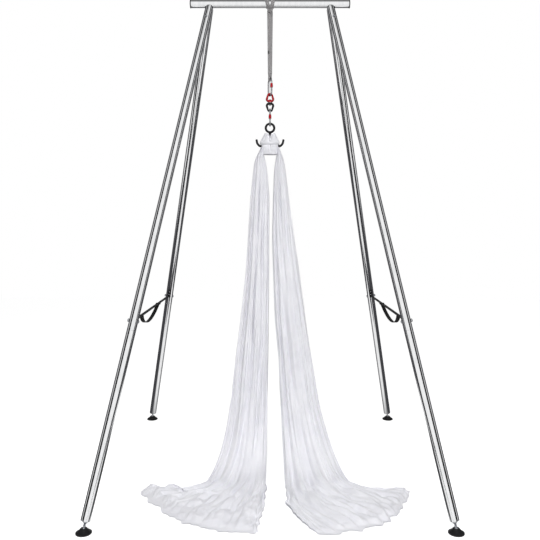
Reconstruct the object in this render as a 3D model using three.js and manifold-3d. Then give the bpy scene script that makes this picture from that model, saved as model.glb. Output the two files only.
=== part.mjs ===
// A free-standing aerial rig: a short top bar on four splayed tubular legs. A webbing sling, two screw-gate
// carabiners, a swivel and a figure-eight hang from the bar and carry one long silk that reaches the floor.
// Millimetres, +X to the right, +Y to the rear, +Z up. The origin is on the floor under the bar's middle.
import * as THREE from "three";
import { mergeVertices } from "three/addons/utils/BufferGeometryUtils.js";
import Module from "manifold-3d";

const wasm = await Module();
wasm.setup();

// Clearances.
const seatGap = 0.3; // between two pieces that touch
const cutOverrun = 8; // how far a cutting shape passes the face it cuts
const weldDistance = 1e-4; // corners closer than this are one corner

// Frame tubes.
const tubeRadius = 25;
const tubeWall = 3;
const barLength = 1005;
const barHeight = 2925; // the bar's axis above the floor
const legStart = 16; // from the bar's axis to the upper end of the leg tube
const legTopInset = 121.5; // from the end of the bar to where the leg axes cross its axis
const footSpreadX = 918;
const footSpreadY = 900;
const endCapThickness = 6;
const endCapRim = 1.5; // how far the cap stands out over the tube
const endCapPlugLength = 22;
const spigotLength = 160; // from the bar's axis down the leg
const upperLegLength = 2100; // from the bar's axis to the splice
const sleeveLength = 220;
const legScrewDrop = 108; // from the bar's axis down the leg
const legScrewRadius = 4;
const legScrewHeadRadius = 7;
const legScrewHeadHeight = 4;
const legBoltRise = 52; // bolt above the splice
const legBoltRadius = 5;
const boltHeadRadius = 9;
const boltHeadHeight = 5.5;
const nutThickness = 7;

// Levelling feet.
const padRadius = 40;
const padHeight = 27;
const padEdge = 6;
const padTopRadius = 15;
const padChamfer = 2;
const padPivotHeight = 24;
const ballRadius = 9;
const studRadius = 6;
const studLength = 88;
const legEndStandoff = 34; // from the ball's centre to the end of the leg tube
const plugLength = 32;
const plugRecess = 3;
const lockNutRadius = 11;
const lockNutThickness = 8;

// Spreader straps.
const strapWidth = 24;
const strapThickness = 2.5;
const strapRise = 54; // strap above the splice, measured along the leg
const strapTabLength = 55; // up the leg's face
const slackFront = -390;
const slackRear = 140;
const slackSag = 62;
const slackSkew = 0.68; // below one puts the lowest point nearer the front
const slackOverlap = 0.25; // where the two runs lie on each other
const sliderWall = 3;
const sliderLength = 16;

// Sling.
const slingWidth = 40;
const slingFootWidth = 33;
const slingPly = 3;
const slingTurnWidth = 29;
const slingTurnSpace = 4;
const slingBightWidth = 40;
const slingTwistDegrees = -34;
const slingSeatThickness = 24;
const slingSeatRise = 38.4; // the folded webbing's height over the carabiner's top
const slingSeatBulge = 16.8; // where the fold is thickest
const slingBightStartDegrees = 176.4;
const slingBightEndDegrees = 291.6;
const slingStrandDepth = 6.6; // both strands pressed together
const slingNeckDepth = 7.2;
const slingLevelShares = [0.25, 0.5, 0.75];
const slingSeatShare = 0.8;
const slingSeatFootShare = 0.4;
const slingSeatDepth = 4; // webbing under the carabiner's top
const slingHitchDrop = 20; // knot below the bar

// Carabiners.
const wireRadius = 5.5;
const carabinerHeight = 115;
const carabinerWidth = 62;
const noseHeight = 22; // from the middle of the carabiner up to the gate's nose
const gatePinDrop = 20.5; // from the middle of the carabiner down to the gate's pin
const gateNoseGap = 0.6;
const tangThickness = 4;
const gatePinRadius = 1.5;
const gateStopHeight = -13.9; // underside of the gate's stop ring from the middle
const gateStopLength = 1.5;
const gateStopRim = 1.2;
const screwSleeveLength = 26;
const screwSleeveWall = 2.4;
const screwSleeveGap = 0.5;
const screwSleeveRibs = 12;
const screwSleeveRibHeight = 0.5;
const upperCarabinerDegrees = -68;
const lowerCarabinerDegrees = -90;
const upperSleeveDrop = 0.6; // below the nose when just free of it
const lowerSleeveDrop = 8;

// Swivel.
const swivelRingHeight = 59;
const swivelRingWidth = 58;
const swivelWire = 5.5;
const swivelApexRadius = 8.5;
const swivelApexShare = 0.5; // of the ring's half width
const swivelCornerRadius = 10;
const swivelBossRadius = 13;
const swivelBossHeight = 8;
const swivelAxleRadius = 4.5;
const swivelAxleHeadRadius = 7.5;
const swivelAxleHeadHeight = 4;
const bearingHeight = 3;

// Figure-eight.
const eightDrop = 756; // from the bar's axis down to the figure-eight's top
const eightWire = 6.5;
const smallRingRadius = 27;
const largeRingRadius = 45.5;
const eightNeck = 22; // between the two rings' outer edges
const eightNeckRadius = 8;
const earWire = 5.5;
const earReach = 40; // tip of an ear outside the large ring's middle line
const earDip = 6;
const earRise = 31;
const earBendShare = 0.45; // of the reach, where an ear dips most
const earTurnShare = 0.85; // of the reach, where it turns up
const earTurnRiseShare = 0.25;

// Silk.
const silkBase = 2; // underside of the cloth on the floor
const wrapHeight = 146;
const wrapDepth = 34;
const wrapWidest = 71;
const wrapPocketGap = 0.5;
const wrapFloor = 10; // cloth under the large ring
const tailTopDepth = 30;
const tailFootDepth = 95;
const tailForward = 45; // how far the tail's foot lies in front of the bar
const tailFootRise = 62; // the foot's front edge over its rear edge
const tailLeftReach = 330;
const tailRightReach = 405;
const foldsPerTail = 8;
const stepsPerFold = 4;
const foldDepthShare = 0.13;
const poolReach = 925; // the furthest that the cloth lies in front of the bar
const poolHeight = 56;
const poolTipHeight = 22;
const poolFoldShare = 0.3;
const poolRippleShare = 0.22;

// Counts of sides: they set how round a piece is.
const tubeSides = 20;
const padSides = 16;
const wireSides = 8;
const smallSides = 12;
const hexSides = 6;
const carabinerSteps = 6;
const swivelSteps = 5;
const smallRingSteps = 20;
const largeRingSteps = 28;
const earSteps = 9;
const bightSteps = 8;
const strapSteps = 12;
const ballSteps = 5;
const socketSteps = 4;
const wrapSteps = 28;

const polishedSteel = new THREE.MeshStandardMaterial({ color: 0xc9c9cc, roughness: 0.22, metalness: 1 });
const zincSteel = new THREE.MeshStandardMaterial({ color: 0xb4b4b6, roughness: 0.35, metalness: 1 });
const blackRubber = new THREE.MeshStandardMaterial({ color: 0x1c1c1d, roughness: 0.8, metalness: 0 });
const blackWebbing = new THREE.MeshStandardMaterial({ color: 0x17171a, roughness: 0.9, metalness: 0 });
const greyWebbing = new THREE.MeshStandardMaterial({ color: 0xa6a4a5, roughness: 0.9, metalness: 0 });
const redAnodised = new THREE.MeshStandardMaterial({ color: 0xb5262b, roughness: 0.4, metalness: 0.6 });
const blackAnodised = new THREE.MeshStandardMaterial({ color: 0x2a2a2d, roughness: 0.4, metalness: 0.6 });
const paleSilk = new THREE.MeshStandardMaterial({ color: 0xe4e4f0, roughness: 0.7, metalness: 0 });

// Derived sizes.
const boreRadius = tubeRadius - tubeWall;
const legTopSpread = barLength / 2 - legTopInset;
const spigotRadius = boreRadius - seatGap;
const barBottom = barHeight - tubeRadius;
const legLength = Math.hypot(footSpreadX - legTopSpread, footSpreadY, barHeight - padPivotHeight);
const legEnd = legLength - legEndStandoff;
const plugFace = legEnd - plugRecess;
const boltDrop = upperLegLength - legBoltRise;
const strapDrop = upperLegLength - strapRise;
const corners = [
  { name: "front_left", x: -1, y: -1 },
  { name: "front_right", x: 1, y: -1 },
  { name: "rear_left", x: -1, y: 1 },
  { name: "rear_right", x: 1, y: 1 },
];

// The chain's places, from the floor of the silk wrap up to the sling.
const eightTop = barHeight - eightDrop;
const smallRingHeight = eightTop - eightWire - smallRingRadius;
const largeRingHeight = smallRingHeight - smallRingRadius - 2 * eightWire - eightNeck - largeRingRadius;
const lowerCarabinerMiddle = eightTop - 2 * eightWire - seatGap - 2 * wireRadius + carabinerHeight / 2;
const swivelBottom = lowerCarabinerMiddle + carabinerHeight / 2 - 2 * wireRadius - seatGap - 2 * swivelWire;
const swivelMiddle = swivelBottom + swivelRingHeight + bearingHeight / 2;
const swivelTop = swivelMiddle + bearingHeight / 2 + swivelRingHeight;
const upperCarabinerMiddle = swivelTop - 2 * swivelWire - seatGap - 2 * wireRadius + carabinerHeight / 2;
const slingBottom = upperCarabinerMiddle + carabinerHeight / 2 - 2 * wireRadius - slingSeatDepth;

// A closed surface through rings of points. Each ring has as many points as the next, and each end is closed
// by a fan, unless the last ring joins the first again.
function skin(rings, joined = false) {
  const count = rings[0].length;
  const positions = rings.flat().flatMap((p) => [p.x, p.y, p.z]);
  const faces = [];
  const last = joined ? rings.length : rings.length - 1;
  for (let i = 0; i < last; i++) {
    const next = (i + 1) % rings.length;
    for (let j = 0; j < count; j++) {
      const k = (j + 1) % count;
      faces.push(i * count + j, i * count + k, next * count + k);
      faces.push(i * count + j, next * count + k, next * count + j);
    }
  }
  if (!joined) {
    for (const [row, turned] of [[0, true], [rings.length - 1, false]]) {
      const middle = new THREE.Vector3();
      rings[row].forEach((p) => middle.addScaledVector(p, 1 / count));
      const hub = positions.length / 3;
      positions.push(middle.x, middle.y, middle.z);
      for (let j = 0; j < count; j++) {
        const a = row * count + j;
        const b = row * count + ((j + 1) % count);
        if (turned) faces.push(hub, b, a);
        else faces.push(hub, a, b);
      }
    }
  }
  const geometry = new THREE.BufferGeometry();
  geometry.setAttribute("position", new THREE.Float32BufferAttribute(positions, 3));
  geometry.setIndex(faces);
  return geometry;
}

// A geometry as a solid that can be joined and cut. A surface that came out facing inwards is turned round.
function solid(geometry) {
  const bare = geometry.index ? geometry.toNonIndexed() : geometry.clone();
  bare.deleteAttribute("normal");
  bare.deleteAttribute("uv");
  const merged = mergeVertices(bare, weldDistance);
  const build = (order) =>
    new wasm.Manifold(
      new wasm.Mesh({
        numProp: 3,
        vertProperties: merged.attributes.position.array,
        triVerts: order,
      }),
    );
  const made = build(new Uint32Array(merged.index.array));
  if (made.volume() > 0) return made;
  return build(new Uint32Array(merged.index.array).reverse());
}

function geometryOf(made) {
  const mesh = made.getMesh();
  const geometry = new THREE.BufferGeometry();
  geometry.setAttribute("position", new THREE.Float32BufferAttribute(mesh.vertProperties, 3));
  geometry.setIndex(new THREE.Uint32BufferAttribute(mesh.triVerts, 1));
  geometry.computeVertexNormals();
  return geometry;
}

const join = (...parts) => parts.map(solid).reduce((a, b) => a.add(b));
const cut = (made, ...tools) => tools.map(solid).reduce((a, b) => a.subtract(b), made);

// A cylinder along Z from one height to another.
function rod(radius, low, high, sides = tubeSides) {
  const geometry = new THREE.CylinderGeometry(radius, radius, high - low, sides);
  geometry.rotateX(Math.PI / 2);
  geometry.translate(0, 0, (low + high) / 2);
  return geometry;
}

// A turned piece: its outline is radius and height pairs that start and end on the axis, or close on
// themselves.
function turned(outline, sides = tubeSides) {
  const geometry = new THREE.LatheGeometry(outline.map(([r, z]) => new THREE.Vector2(r, z)), sides);
  geometry.rotateX(Math.PI / 2);
  return geometry;
}

function pipe(outer, inner, low, high, sides = tubeSides) {
  return turned([[inner, low], [outer, low], [outer, high], [inner, high], [inner, low]], sides);
}

// A box by its middle and its full sizes.
function block(width, depth, height, x = 0, y = 0, z = 0) {
  const geometry = new THREE.BoxGeometry(width, depth, height);
  geometry.translate(x, y, z);
  return geometry;
}

// Points of a path in the XZ plane whose corners are rounded to the radius that each one names.
function roundedPath(points, joined, stepsPerCorner) {
  const path = [];
  const count = points.length;
  points.forEach((p, i) => {
    const ends = !joined && (i === 0 || i === count - 1);
    const at = new THREE.Vector2(p.x, p.z);
    if (ends) {
      path.push(at);
      return;
    }
    const before = points[(i + count - 1) % count];
    const after = points[(i + 1) % count];
    const back = new THREE.Vector2(before.x, before.z).sub(at).normalize();
    const forth = new THREE.Vector2(after.x, after.z).sub(at).normalize();
    const half = Math.acos(THREE.MathUtils.clamp(back.dot(forth), -1, 1)) / 2;
    const inward = back.clone().add(forth).normalize();
    const centre = inward.multiplyScalar(p.radius / Math.sin(half)).add(at);
    const start = back.clone().multiplyScalar(p.radius / Math.tan(half)).add(at).sub(centre);
    const sweep = Math.PI - 2 * half;
    const turn = -Math.sign(start.cross(back));
    for (let k = 0; k <= stepsPerCorner; k++) {
      const angle = (turn * sweep * k) / stepsPerCorner;
      path.push(start.clone().rotateAround(new THREE.Vector2(), angle).add(centre));
    }
  });
  return path;
}

// Round wire along a path in the XZ plane.
function wireAlong(path, radius, joined, sides = wireSides) {
  const count = path.length;
  const rings = path.map((p, i) => {
    const before = joined || i > 0 ? path[(i + count - 1) % count] : p;
    const after = joined || i < count - 1 ? path[(i + 1) % count] : p;
    const along = after.clone().sub(before).normalize();
    const ring = [];
    for (let j = 0; j < sides; j++) {
      const angle = (2 * Math.PI * j) / sides;
      const aside = radius * Math.cos(angle);
      ring.push(new THREE.Vector3(p.x - along.y * aside, radius * Math.sin(angle), p.y + along.x * aside));
    }
    return ring;
  });
  return skin(rings, joined);
}

// A flat ring of round wire in the XZ plane.
function wireRing(ringRadius, radius, height, steps) {
  const geometry = new THREE.TorusGeometry(ringRadius, radius, wireSides, steps);
  geometry.rotateX(Math.PI / 2);
  geometry.translate(0, 0, height);
  return geometry;
}

// A straight line between listed pairs of place and value.
function between(table, place) {
  let i = 0;
  while (i < table.length - 2 && place > table[i + 1][0]) i++;
  const [a, valueA] = table[i];
  const [b, valueB] = table[i + 1];
  return THREE.MathUtils.mapLinear(place, a, b, valueA, valueB);
}

const root = new THREE.Group();

function add(name, made, material, group = root) {
  const geometry = made.isBufferGeometry ? made : geometryOf(made);
  const mesh = new THREE.Mesh(geometry, material);
  mesh.name = name;
  group.add(mesh);
  return mesh;
}

// The matrix of a corner's leg: Z runs down the leg from the bar's axis, X across it, away from the middle.
function legMatrix(corner) {
  const top = new THREE.Vector3(corner.x * legTopSpread, 0, barHeight);
  const foot = new THREE.Vector3(corner.x * footSpreadX, corner.y * footSpreadY, padPivotHeight);
  const along = foot.sub(top).normalize();
  const across = new THREE.Vector3(corner.x, 0, 0);
  across.addScaledVector(along, -across.dot(along)).normalize();
  const facing = along.clone().cross(across);
  return new THREE.Matrix4().makeBasis(across, facing, along).setPosition(top);
}

// The half of space on the far side of the bar's middle plane, where the leg beside this one stands.
function beyondMiddle(corner) {
  const size = spigotLength * 2;
  return block(size, size, size, corner.x * legTopSpread, -corner.y * (size / 2 - seatGap), barHeight);
}

function barRod(radius, length) {
  const geometry = rod(radius, -length / 2, length / 2);
  geometry.rotateY(Math.PI / 2);
  geometry.translate(0, 0, barHeight);
  return geometry;
}

// The screw's axis faces the front on front legs and the rear on rear legs.
function screwRod(corner, radius, low, high, sides = smallSides) {
  const geometry = rod(radius, low, high, sides);
  geometry.rotateX((corner.x * corner.y * Math.PI) / 2);
  geometry.translate(0, 0, legScrewDrop);
  return geometry;
}

function makeTopBar() {
  let bar = solid(barRod(tubeRadius, barLength));
  for (const corner of corners) {
    const matrix = legMatrix(corner);
    const whole = solid(rod(spigotRadius, 0, spigotLength).applyMatrix4(matrix));
    const hole = screwRod(corner, legScrewRadius + seatGap, 0, tubeRadius + cutOverrun);
    bar = cut(bar.add(cut(whole, beyondMiddle(corner))), hole.applyMatrix4(matrix));
  }
  return cut(bar, barRod(boreRadius, barLength + cutOverrun));
}

function makeEndCap() {
  const rim = tubeRadius + endCapRim;
  const inside = boreRadius - seatGap;
  return turned([
    [0, -endCapPlugLength],
    [inside - endCapRim, -endCapPlugLength],
    [inside, endCapRim - endCapPlugLength],
    [inside, seatGap],
    [rim, seatGap],
    [rim, endCapThickness - endCapRim],
    [rim - endCapRim, endCapThickness],
    [0, endCapThickness],
  ]);
}

function makeUpperLeg(corner) {
  const inverse = legMatrix(corner).invert();
  const leg = solid(pipe(tubeRadius, boreRadius, legStart, upperLegLength));
  return cut(
    leg,
    barRod(tubeRadius + seatGap, barLength).applyMatrix4(inverse),
    beyondMiddle(corner).applyMatrix4(inverse),
    screwRod(corner, legScrewRadius + seatGap, 0, tubeRadius + cutOverrun),
    boltRod(legBoltRadius + seatGap, tubeRadius + cutOverrun),
  );
}

// The lower leg has a threaded plug welded into its foot end.
function makeLowerLeg() {
  return join(
    pipe(tubeRadius, boreRadius, upperLegLength + seatGap, legEnd),
    pipe(boreRadius + tubeWall / 2, studRadius + seatGap, plugFace - plugLength, plugFace),
  );
}

// A rod through the leg where its bolt goes.
function boltRod(radius, halfLength) {
  const geometry = rod(radius, -halfLength, halfLength, smallSides);
  geometry.rotateY(Math.PI / 2);
  geometry.translate(0, 0, boltDrop);
  return geometry;
}

function makeLegBolt() {
  const seat = tubeRadius + seatGap;
  const tip = seat + nutThickness + padChamfer;
  const bolt = turned(
    [
      [0, -seat - boltHeadHeight],
      [boltHeadRadius / 2, -seat - boltHeadHeight],
      [boltHeadRadius, -seat - boltHeadHeight / 2],
      [boltHeadRadius, -seat],
      [legBoltRadius, -seat],
      [legBoltRadius, tip],
      [0, tip],
    ],
    smallSides,
  );
  bolt.rotateY(Math.PI / 2);
  bolt.translate(0, 0, boltDrop);
  return bolt;
}

function makeLegNut() {
  const seat = tubeRadius + seatGap;
  const nut = cut(
    solid(rod(boltHeadRadius, seat, seat + nutThickness, hexSides)),
    rod(legBoltRadius + seatGap, seat - cutOverrun, seat + nutThickness + cutOverrun, smallSides),
  );
  const geometry = geometryOf(nut);
  geometry.rotateY(Math.PI / 2);
  geometry.translate(0, 0, boltDrop);
  return geometry;
}

function makeLegScrew(corner) {
  const seat = tubeRadius + seatGap;
  return join(
    screwRod(corner, legScrewRadius, boreRadius / 2, seat + legScrewHeadHeight / 2),
    screwRod(corner, legScrewHeadRadius, seat, seat + legScrewHeadHeight),
  );
}

function makeFootStud() {
  const neck = Math.sqrt(ballRadius ** 2 - studRadius ** 2);
  const outline = [
    [0, -studLength],
    [studRadius - padChamfer, -studLength],
    [studRadius, padChamfer - studLength],
  ];
  const neckAngle = Math.atan2(studRadius, -neck);
  for (let i = ballSteps; i > 0; i--) {
    const angle = (neckAngle * i) / ballSteps;
    outline.push([ballRadius * Math.sin(angle), ballRadius * Math.cos(angle)]);
  }
  outline.push([0, ballRadius]);
  return turned(outline, smallSides);
}

// The pad is a low cone with a round socket for the stud's ball.
function makeFootPad() {
  const socket = ballRadius + seatGap;
  const rim = padHeight - padPivotHeight;
  const outline = [
    [0, 0],
    [padRadius - padChamfer, 0],
    [padRadius, padChamfer],
    [padRadius, padEdge],
    [(padRadius + padTopRadius) / 2, (padEdge + padHeight) / 2 + padChamfer],
    [padTopRadius, padHeight],
    [socket, padHeight],
  ];
  for (let i = 0; i <= socketSteps; i++) {
    const angle = ((Math.PI / 2) * i) / socketSteps;
    outline.push([socket * Math.cos(angle), padHeight - rim - socket * Math.sin(angle)]);
  }
  outline[outline.length - 1][0] = 0;
  return turned(outline, padSides);
}

function addFrame() {
  add("top_bar", makeTopBar(), polishedSteel);
  for (const [name, side] of [["bar_end_cap_left", -1], ["bar_end_cap_right", 1]]) {
    const cap = add(name, makeEndCap(), blackRubber);
    cap.rotation.y = (side * Math.PI) / 2;
    cap.position.set((side * barLength) / 2, 0, barHeight);
  }
  for (const corner of corners) {
    const leg = new THREE.Group();
    leg.applyMatrix4(legMatrix(corner));
    root.add(leg);
    const named = (piece) => piece + "_" + corner.name;
    add(named("upper_leg"), makeUpperLeg(corner), polishedSteel, leg);
    add(named("lower_leg"), makeLowerLeg(), polishedSteel, leg);
    const half = sleeveLength / 2;
    const tube = pipe(spigotRadius, spigotRadius - tubeWall, upperLegLength - half, upperLegLength + half);
    const sleeve = cut(solid(tube), boltRod(legBoltRadius + seatGap, tubeRadius));
    add(named("splice_sleeve"), sleeve, zincSteel, leg);
    add(named("leg_bolt"), makeLegBolt(), zincSteel, leg);
    add(named("leg_nut"), makeLegNut(), zincSteel, leg);
    add(named("leg_screw"), makeLegScrew(corner), zincSteel, leg);
    const nut = cut(
      solid(rod(lockNutRadius, plugFace + seatGap, plugFace + seatGap + lockNutThickness, hexSides)),
      rod(studRadius + seatGap, plugFace - cutOverrun, legLength, smallSides),
    );
    add(named("lock_nut"), nut, zincSteel, leg);
    const stud = add(named("foot_stud"), makeFootStud(), zincSteel, leg);
    stud.position.z = legLength;
    const pad = add(named("foot_pad"), makeFootPad(), blackRubber);
    pad.position.set(corner.x * footSpreadX, corner.y * footSpreadY, 0);
  }
}

// One strap joins the front and rear leg of a side. It runs flat between them, and a tab at each end lies up
// the leg's face. A slack run hangs under it from the front to the slider.
function makeStrap(side) {
  const inner = tubeRadius + seatGap;
  const share = strapDrop / legLength;
  const legX = side * (legTopSpread + (footSpreadX - legTopSpread) * share);
  const legY = footSpreadY * share;
  const height = barHeight - (barHeight - padPivotHeight) * share;
  const tabs = [];
  const legs = [];
  for (const corner of corners.filter((c) => c.x === side)) {
    const matrix = legMatrix(corner);
    const low = strapDrop + strapThickness;
    const high = strapDrop - strapTabLength;
    const face = block(strapWidth, 2 * tubeRadius, low - high);
    face.translate(0, corner.x * corner.y * tubeRadius, (low + high) / 2);
    const hug = solid(pipe(inner + strapThickness, inner, high, low)).intersect(solid(face));
    tabs.push(geometryOf(hug).applyMatrix4(matrix));
    legs.push(rod(inner, high, strapDrop + strapWidth).applyMatrix4(matrix));
  }
  const run = block(strapWidth, 2 * legY, strapThickness, legX, 0, height);
  const slackEnd = slackRear - sliderLength / 2 - seatGap;
  const top = -strapThickness / 2 + slackOverlap;
  const slackAt = (y, sag) =>
    [[1, top], [-1, top], [-1, top - strapThickness], [1, top - strapThickness]].map(
      ([x, z]) => new THREE.Vector3(legX + (x * strapWidth) / 2, y, height + z - sag),
    );
  const rings = [];
  for (let i = 0; i <= strapSteps; i++) {
    const place = i / strapSteps;
    const bend = place ** slackSkew;
    rings.push(slackAt(THREE.MathUtils.lerp(slackFront, slackEnd, place), slackSag * 4 * bend * (1 - bend)));
  }
  rings.push(slackAt(slackRear + sliderLength, 0));
  const opening = 2 * (strapThickness + seatGap);
  const frame = cut(
    solid(block(strapWidth + 2 * sliderWall, sliderLength, opening + 2 * sliderWall)),
    block(strapWidth + 2 * seatGap, sliderLength + cutOverrun, opening),
  );
  const slider = geometryOf(frame);
  slider.translate(legX, slackRear, height - strapThickness / 2);
  return { strap: cut(join(run, skin(rings)), ...legs).add(join(...tabs)), slider };
}

function addStraps() {
  for (const [name, side] of [["left", -1], ["right", 1]]) {
    const made = makeStrap(side);
    add("strap_" + name, made.strap, blackWebbing);
    add("strap_slider_" + name, made.slider, blackAnodised);
  }
}

// The wire of a carabiner in its own XZ plane, from the gate's nose over the spine to the gate's hinge.
const carabinerSide = carabinerWidth / 2 - wireRadius;
const carabinerEnd = carabinerHeight / 2 - wireRadius;
const gateBottom = gatePinDrop + wireRadius + seatGap;

function carabinerPath() {
  return roundedPath(
    [
      { x: carabinerSide, z: noseHeight },
      { x: carabinerSide, z: carabinerEnd, radius: carabinerSide },
      { x: -carabinerSide, z: carabinerEnd, radius: carabinerSide },
      { x: -carabinerSide, z: -carabinerEnd, radius: carabinerSide },
      { x: carabinerSide, z: -carabinerEnd, radius: carabinerSide },
      { x: carabinerSide, z: -gateBottom },
    ],
    false,
    carabinerSteps,
  );
}

function pinRod(radius, halfLength) {
  const geometry = rod(radius, -halfLength, halfLength, wireSides);
  geometry.rotateX(Math.PI / 2);
  geometry.translate(carabinerSide, 0, -gatePinDrop);
  return geometry;
}

function makeCarabinerBody() {
  const tangTop = gatePinDrop - wireRadius / 2;
  const tang = block(
    2 * wireRadius,
    tangThickness,
    gateBottom - tangTop + wireRadius / 2,
    carabinerSide,
    0,
    -(gateBottom + wireRadius / 2 + tangTop) / 2,
  );
  const pad = rod(wireRadius - seatGap, -tangThickness / 2, tangThickness / 2, smallSides);
  pad.rotateX(Math.PI / 2);
  pad.translate(carabinerSide, 0, -gatePinDrop);
  const rounded = solid(tang).intersect(
    join(
      pad,
      block(
        2 * wireRadius,
        2 * wireRadius,
        gatePinDrop,
        carabinerSide,
        0,
        -gatePinDrop - gatePinDrop / 2,
      ),
    ),
  );
  const body = solid(wireAlong(carabinerPath(), wireRadius, false)).add(rounded);
  return cut(body, pinRod(gatePinRadius + seatGap, wireRadius + cutOverrun));
}

function makeGate() {
  const top = noseHeight - gateNoseGap;
  const knuckle = rod(wireRadius, -wireRadius, wireRadius, smallSides);
  knuckle.rotateX(Math.PI / 2);
  knuckle.translate(carabinerSide, 0, -gatePinDrop);
  const stem = rod(wireRadius, -gatePinDrop, top, smallSides);
  stem.translate(carabinerSide, 0, 0);
  const barrel = rod(wireRadius, -gatePinDrop - wireRadius, top, smallSides);
  barrel.translate(carabinerSide, 0, 0);
  const stop = rod(wireRadius + gateStopRim, gateStopHeight, gateStopHeight + gateStopLength, smallSides);
  stop.translate(carabinerSide, 0, 0);
  const gate = join(stem, stop).add(solid(knuckle).intersect(solid(barrel)));
  const slotTop = wireRadius + 2 * seatGap;
  const slot = block(
    4 * wireRadius,
    tangThickness + 2 * seatGap,
    2 * slotTop,
    carabinerSide,
    0,
    -gatePinDrop,
  );
  return cut(gate, slot, pinRod(gatePinRadius + seatGap, wireRadius + cutOverrun));
}

// The screw sleeve is ribbed all round for the fingers.
function makeScrewSleeve(drop) {
  const inner = wireRadius + screwSleeveGap;
  const outer = inner + screwSleeveWall;
  const high = noseHeight - drop;
  const low = high - screwSleeveLength;
  const section = (z, grow) => {
    const ring = [];
    for (let i = 0; i < 2 * screwSleeveRibs; i++) {
      const angle = (Math.PI * i) / screwSleeveRibs;
      const radius = outer + grow + (i % 2 ? screwSleeveRibHeight : 0);
      ring.push(new THREE.Vector3(radius * Math.cos(angle), radius * Math.sin(angle), z));
    }
    return ring;
  };
  const bevel = screwSleeveWall / 2;
  const shell = skin([
    section(low, -bevel),
    section(low + bevel, 0),
    section(high - bevel, 0),
    section(high, -bevel),
  ]);
  const sleeve = cut(solid(shell), rod(inner, low - cutOverrun, high + cutOverrun, smallSides));
  const geometry = geometryOf(sleeve);
  geometry.translate(carabinerSide, 0, 0);
  return geometry;
}

function addCarabiner(name, middle, degrees, sleeveDrop) {
  const group = new THREE.Group();
  group.position.z = middle;
  group.rotation.z = THREE.MathUtils.degToRad(degrees);
  root.add(group);
  add(name + "_carabiner_body", makeCarabinerBody(), polishedSteel, group);
  add(name + "_carabiner_gate", makeGate(), polishedSteel, group);
  add(name + "_gate_pin", pinRod(gatePinRadius, wireRadius - seatGap), zincSteel, group);
  add(name + "_screw_sleeve", makeScrewSleeve(sleeveDrop), redAnodised, group);
  return group;
}

// Half of the swivel, in its own frame: the ring's apex points up and its boss stands on the plane z = 0.
function swivelRing(bore) {
  const half = swivelRingWidth / 2 - swivelWire;
  const path = roundedPath(
    [
      { x: half, z: swivelWire, radius: swivelCornerRadius },
      { x: half * swivelApexShare, z: swivelRingHeight - swivelWire, radius: swivelApexRadius },
      { x: -half * swivelApexShare, z: swivelRingHeight - swivelWire, radius: swivelApexRadius },
      { x: -half, z: swivelWire, radius: swivelCornerRadius },
    ],
    true,
    swivelSteps,
  );
  const boss = rod(swivelBossRadius, 0, swivelBossHeight + swivelWire, smallSides);
  const ring = solid(wireAlong(path, swivelWire, true)).add(solid(boss));
  return bore ? cut(ring, rod(bore, -cutOverrun, swivelRingHeight / 2, smallSides)) : ring;
}

function addSwivel() {
  const upper = add("swivel_upper_ring", swivelRing(swivelAxleRadius + seatGap), redAnodised);
  upper.position.z = swivelMiddle + bearingHeight / 2;
  const lower = add("swivel_lower_ring", swivelRing(swivelAxleRadius + seatGap), blackAnodised);
  lower.rotation.x = Math.PI;
  lower.position.z = swivelMiddle - bearingHeight / 2;
  const bearing = add(
    "swivel_bearing",
    pipe(
      swivelBossRadius - seatGap,
      swivelAxleRadius + seatGap,
      seatGap,
      bearingHeight - seatGap,
      smallSides,
    ),
    zincSteel,
  );
  bearing.position.z = swivelMiddle - bearingHeight / 2;
  const seat = swivelBossHeight + swivelWire + bearingHeight / 2 + seatGap;
  const axle = turned(
    [
      [0, -seat - swivelAxleHeadHeight],
      [swivelAxleHeadRadius, -seat - swivelAxleHeadHeight],
      [swivelAxleHeadRadius, -seat],
      [swivelAxleRadius, -seat],
      [swivelAxleRadius, seat],
      [swivelAxleHeadRadius, seat],
      [swivelAxleHeadRadius, seat + swivelAxleHeadHeight],
      [0, seat + swivelAxleHeadHeight],
    ],
    smallSides,
  );
  add("swivel_axle", axle, zincSteel).position.z = swivelMiddle;
}

function makeFigureEight() {
  const neck = rod(
    eightNeckRadius,
    largeRingHeight + largeRingRadius,
    smallRingHeight - smallRingRadius,
    wireSides,
  );
  let made = join(
    wireRing(smallRingRadius, eightWire, smallRingHeight, smallRingSteps),
    wireRing(largeRingRadius, eightWire, largeRingHeight, largeRingSteps),
    neck,
  );
  for (const side of [-1, 1]) {
    const start = largeRingRadius;
    const turnRise = earRise * earTurnRiseShare;
    const route = new THREE.CatmullRomCurve3([
      new THREE.Vector3(side * start, 0, largeRingHeight),
      new THREE.Vector3(side * (start + earReach * earBendShare), 0, largeRingHeight - earDip),
      new THREE.Vector3(side * (start + earReach * earTurnShare), 0, largeRingHeight + turnRise),
      new THREE.Vector3(side * (start + earReach), 0, largeRingHeight + earRise),
    ]);
    const path = route.getPoints(earSteps).map((p) => new THREE.Vector2(p.x, p.z));
    made = made.add(solid(wireAlong(path, earWire, false)));
  }
  return made;
}

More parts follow.
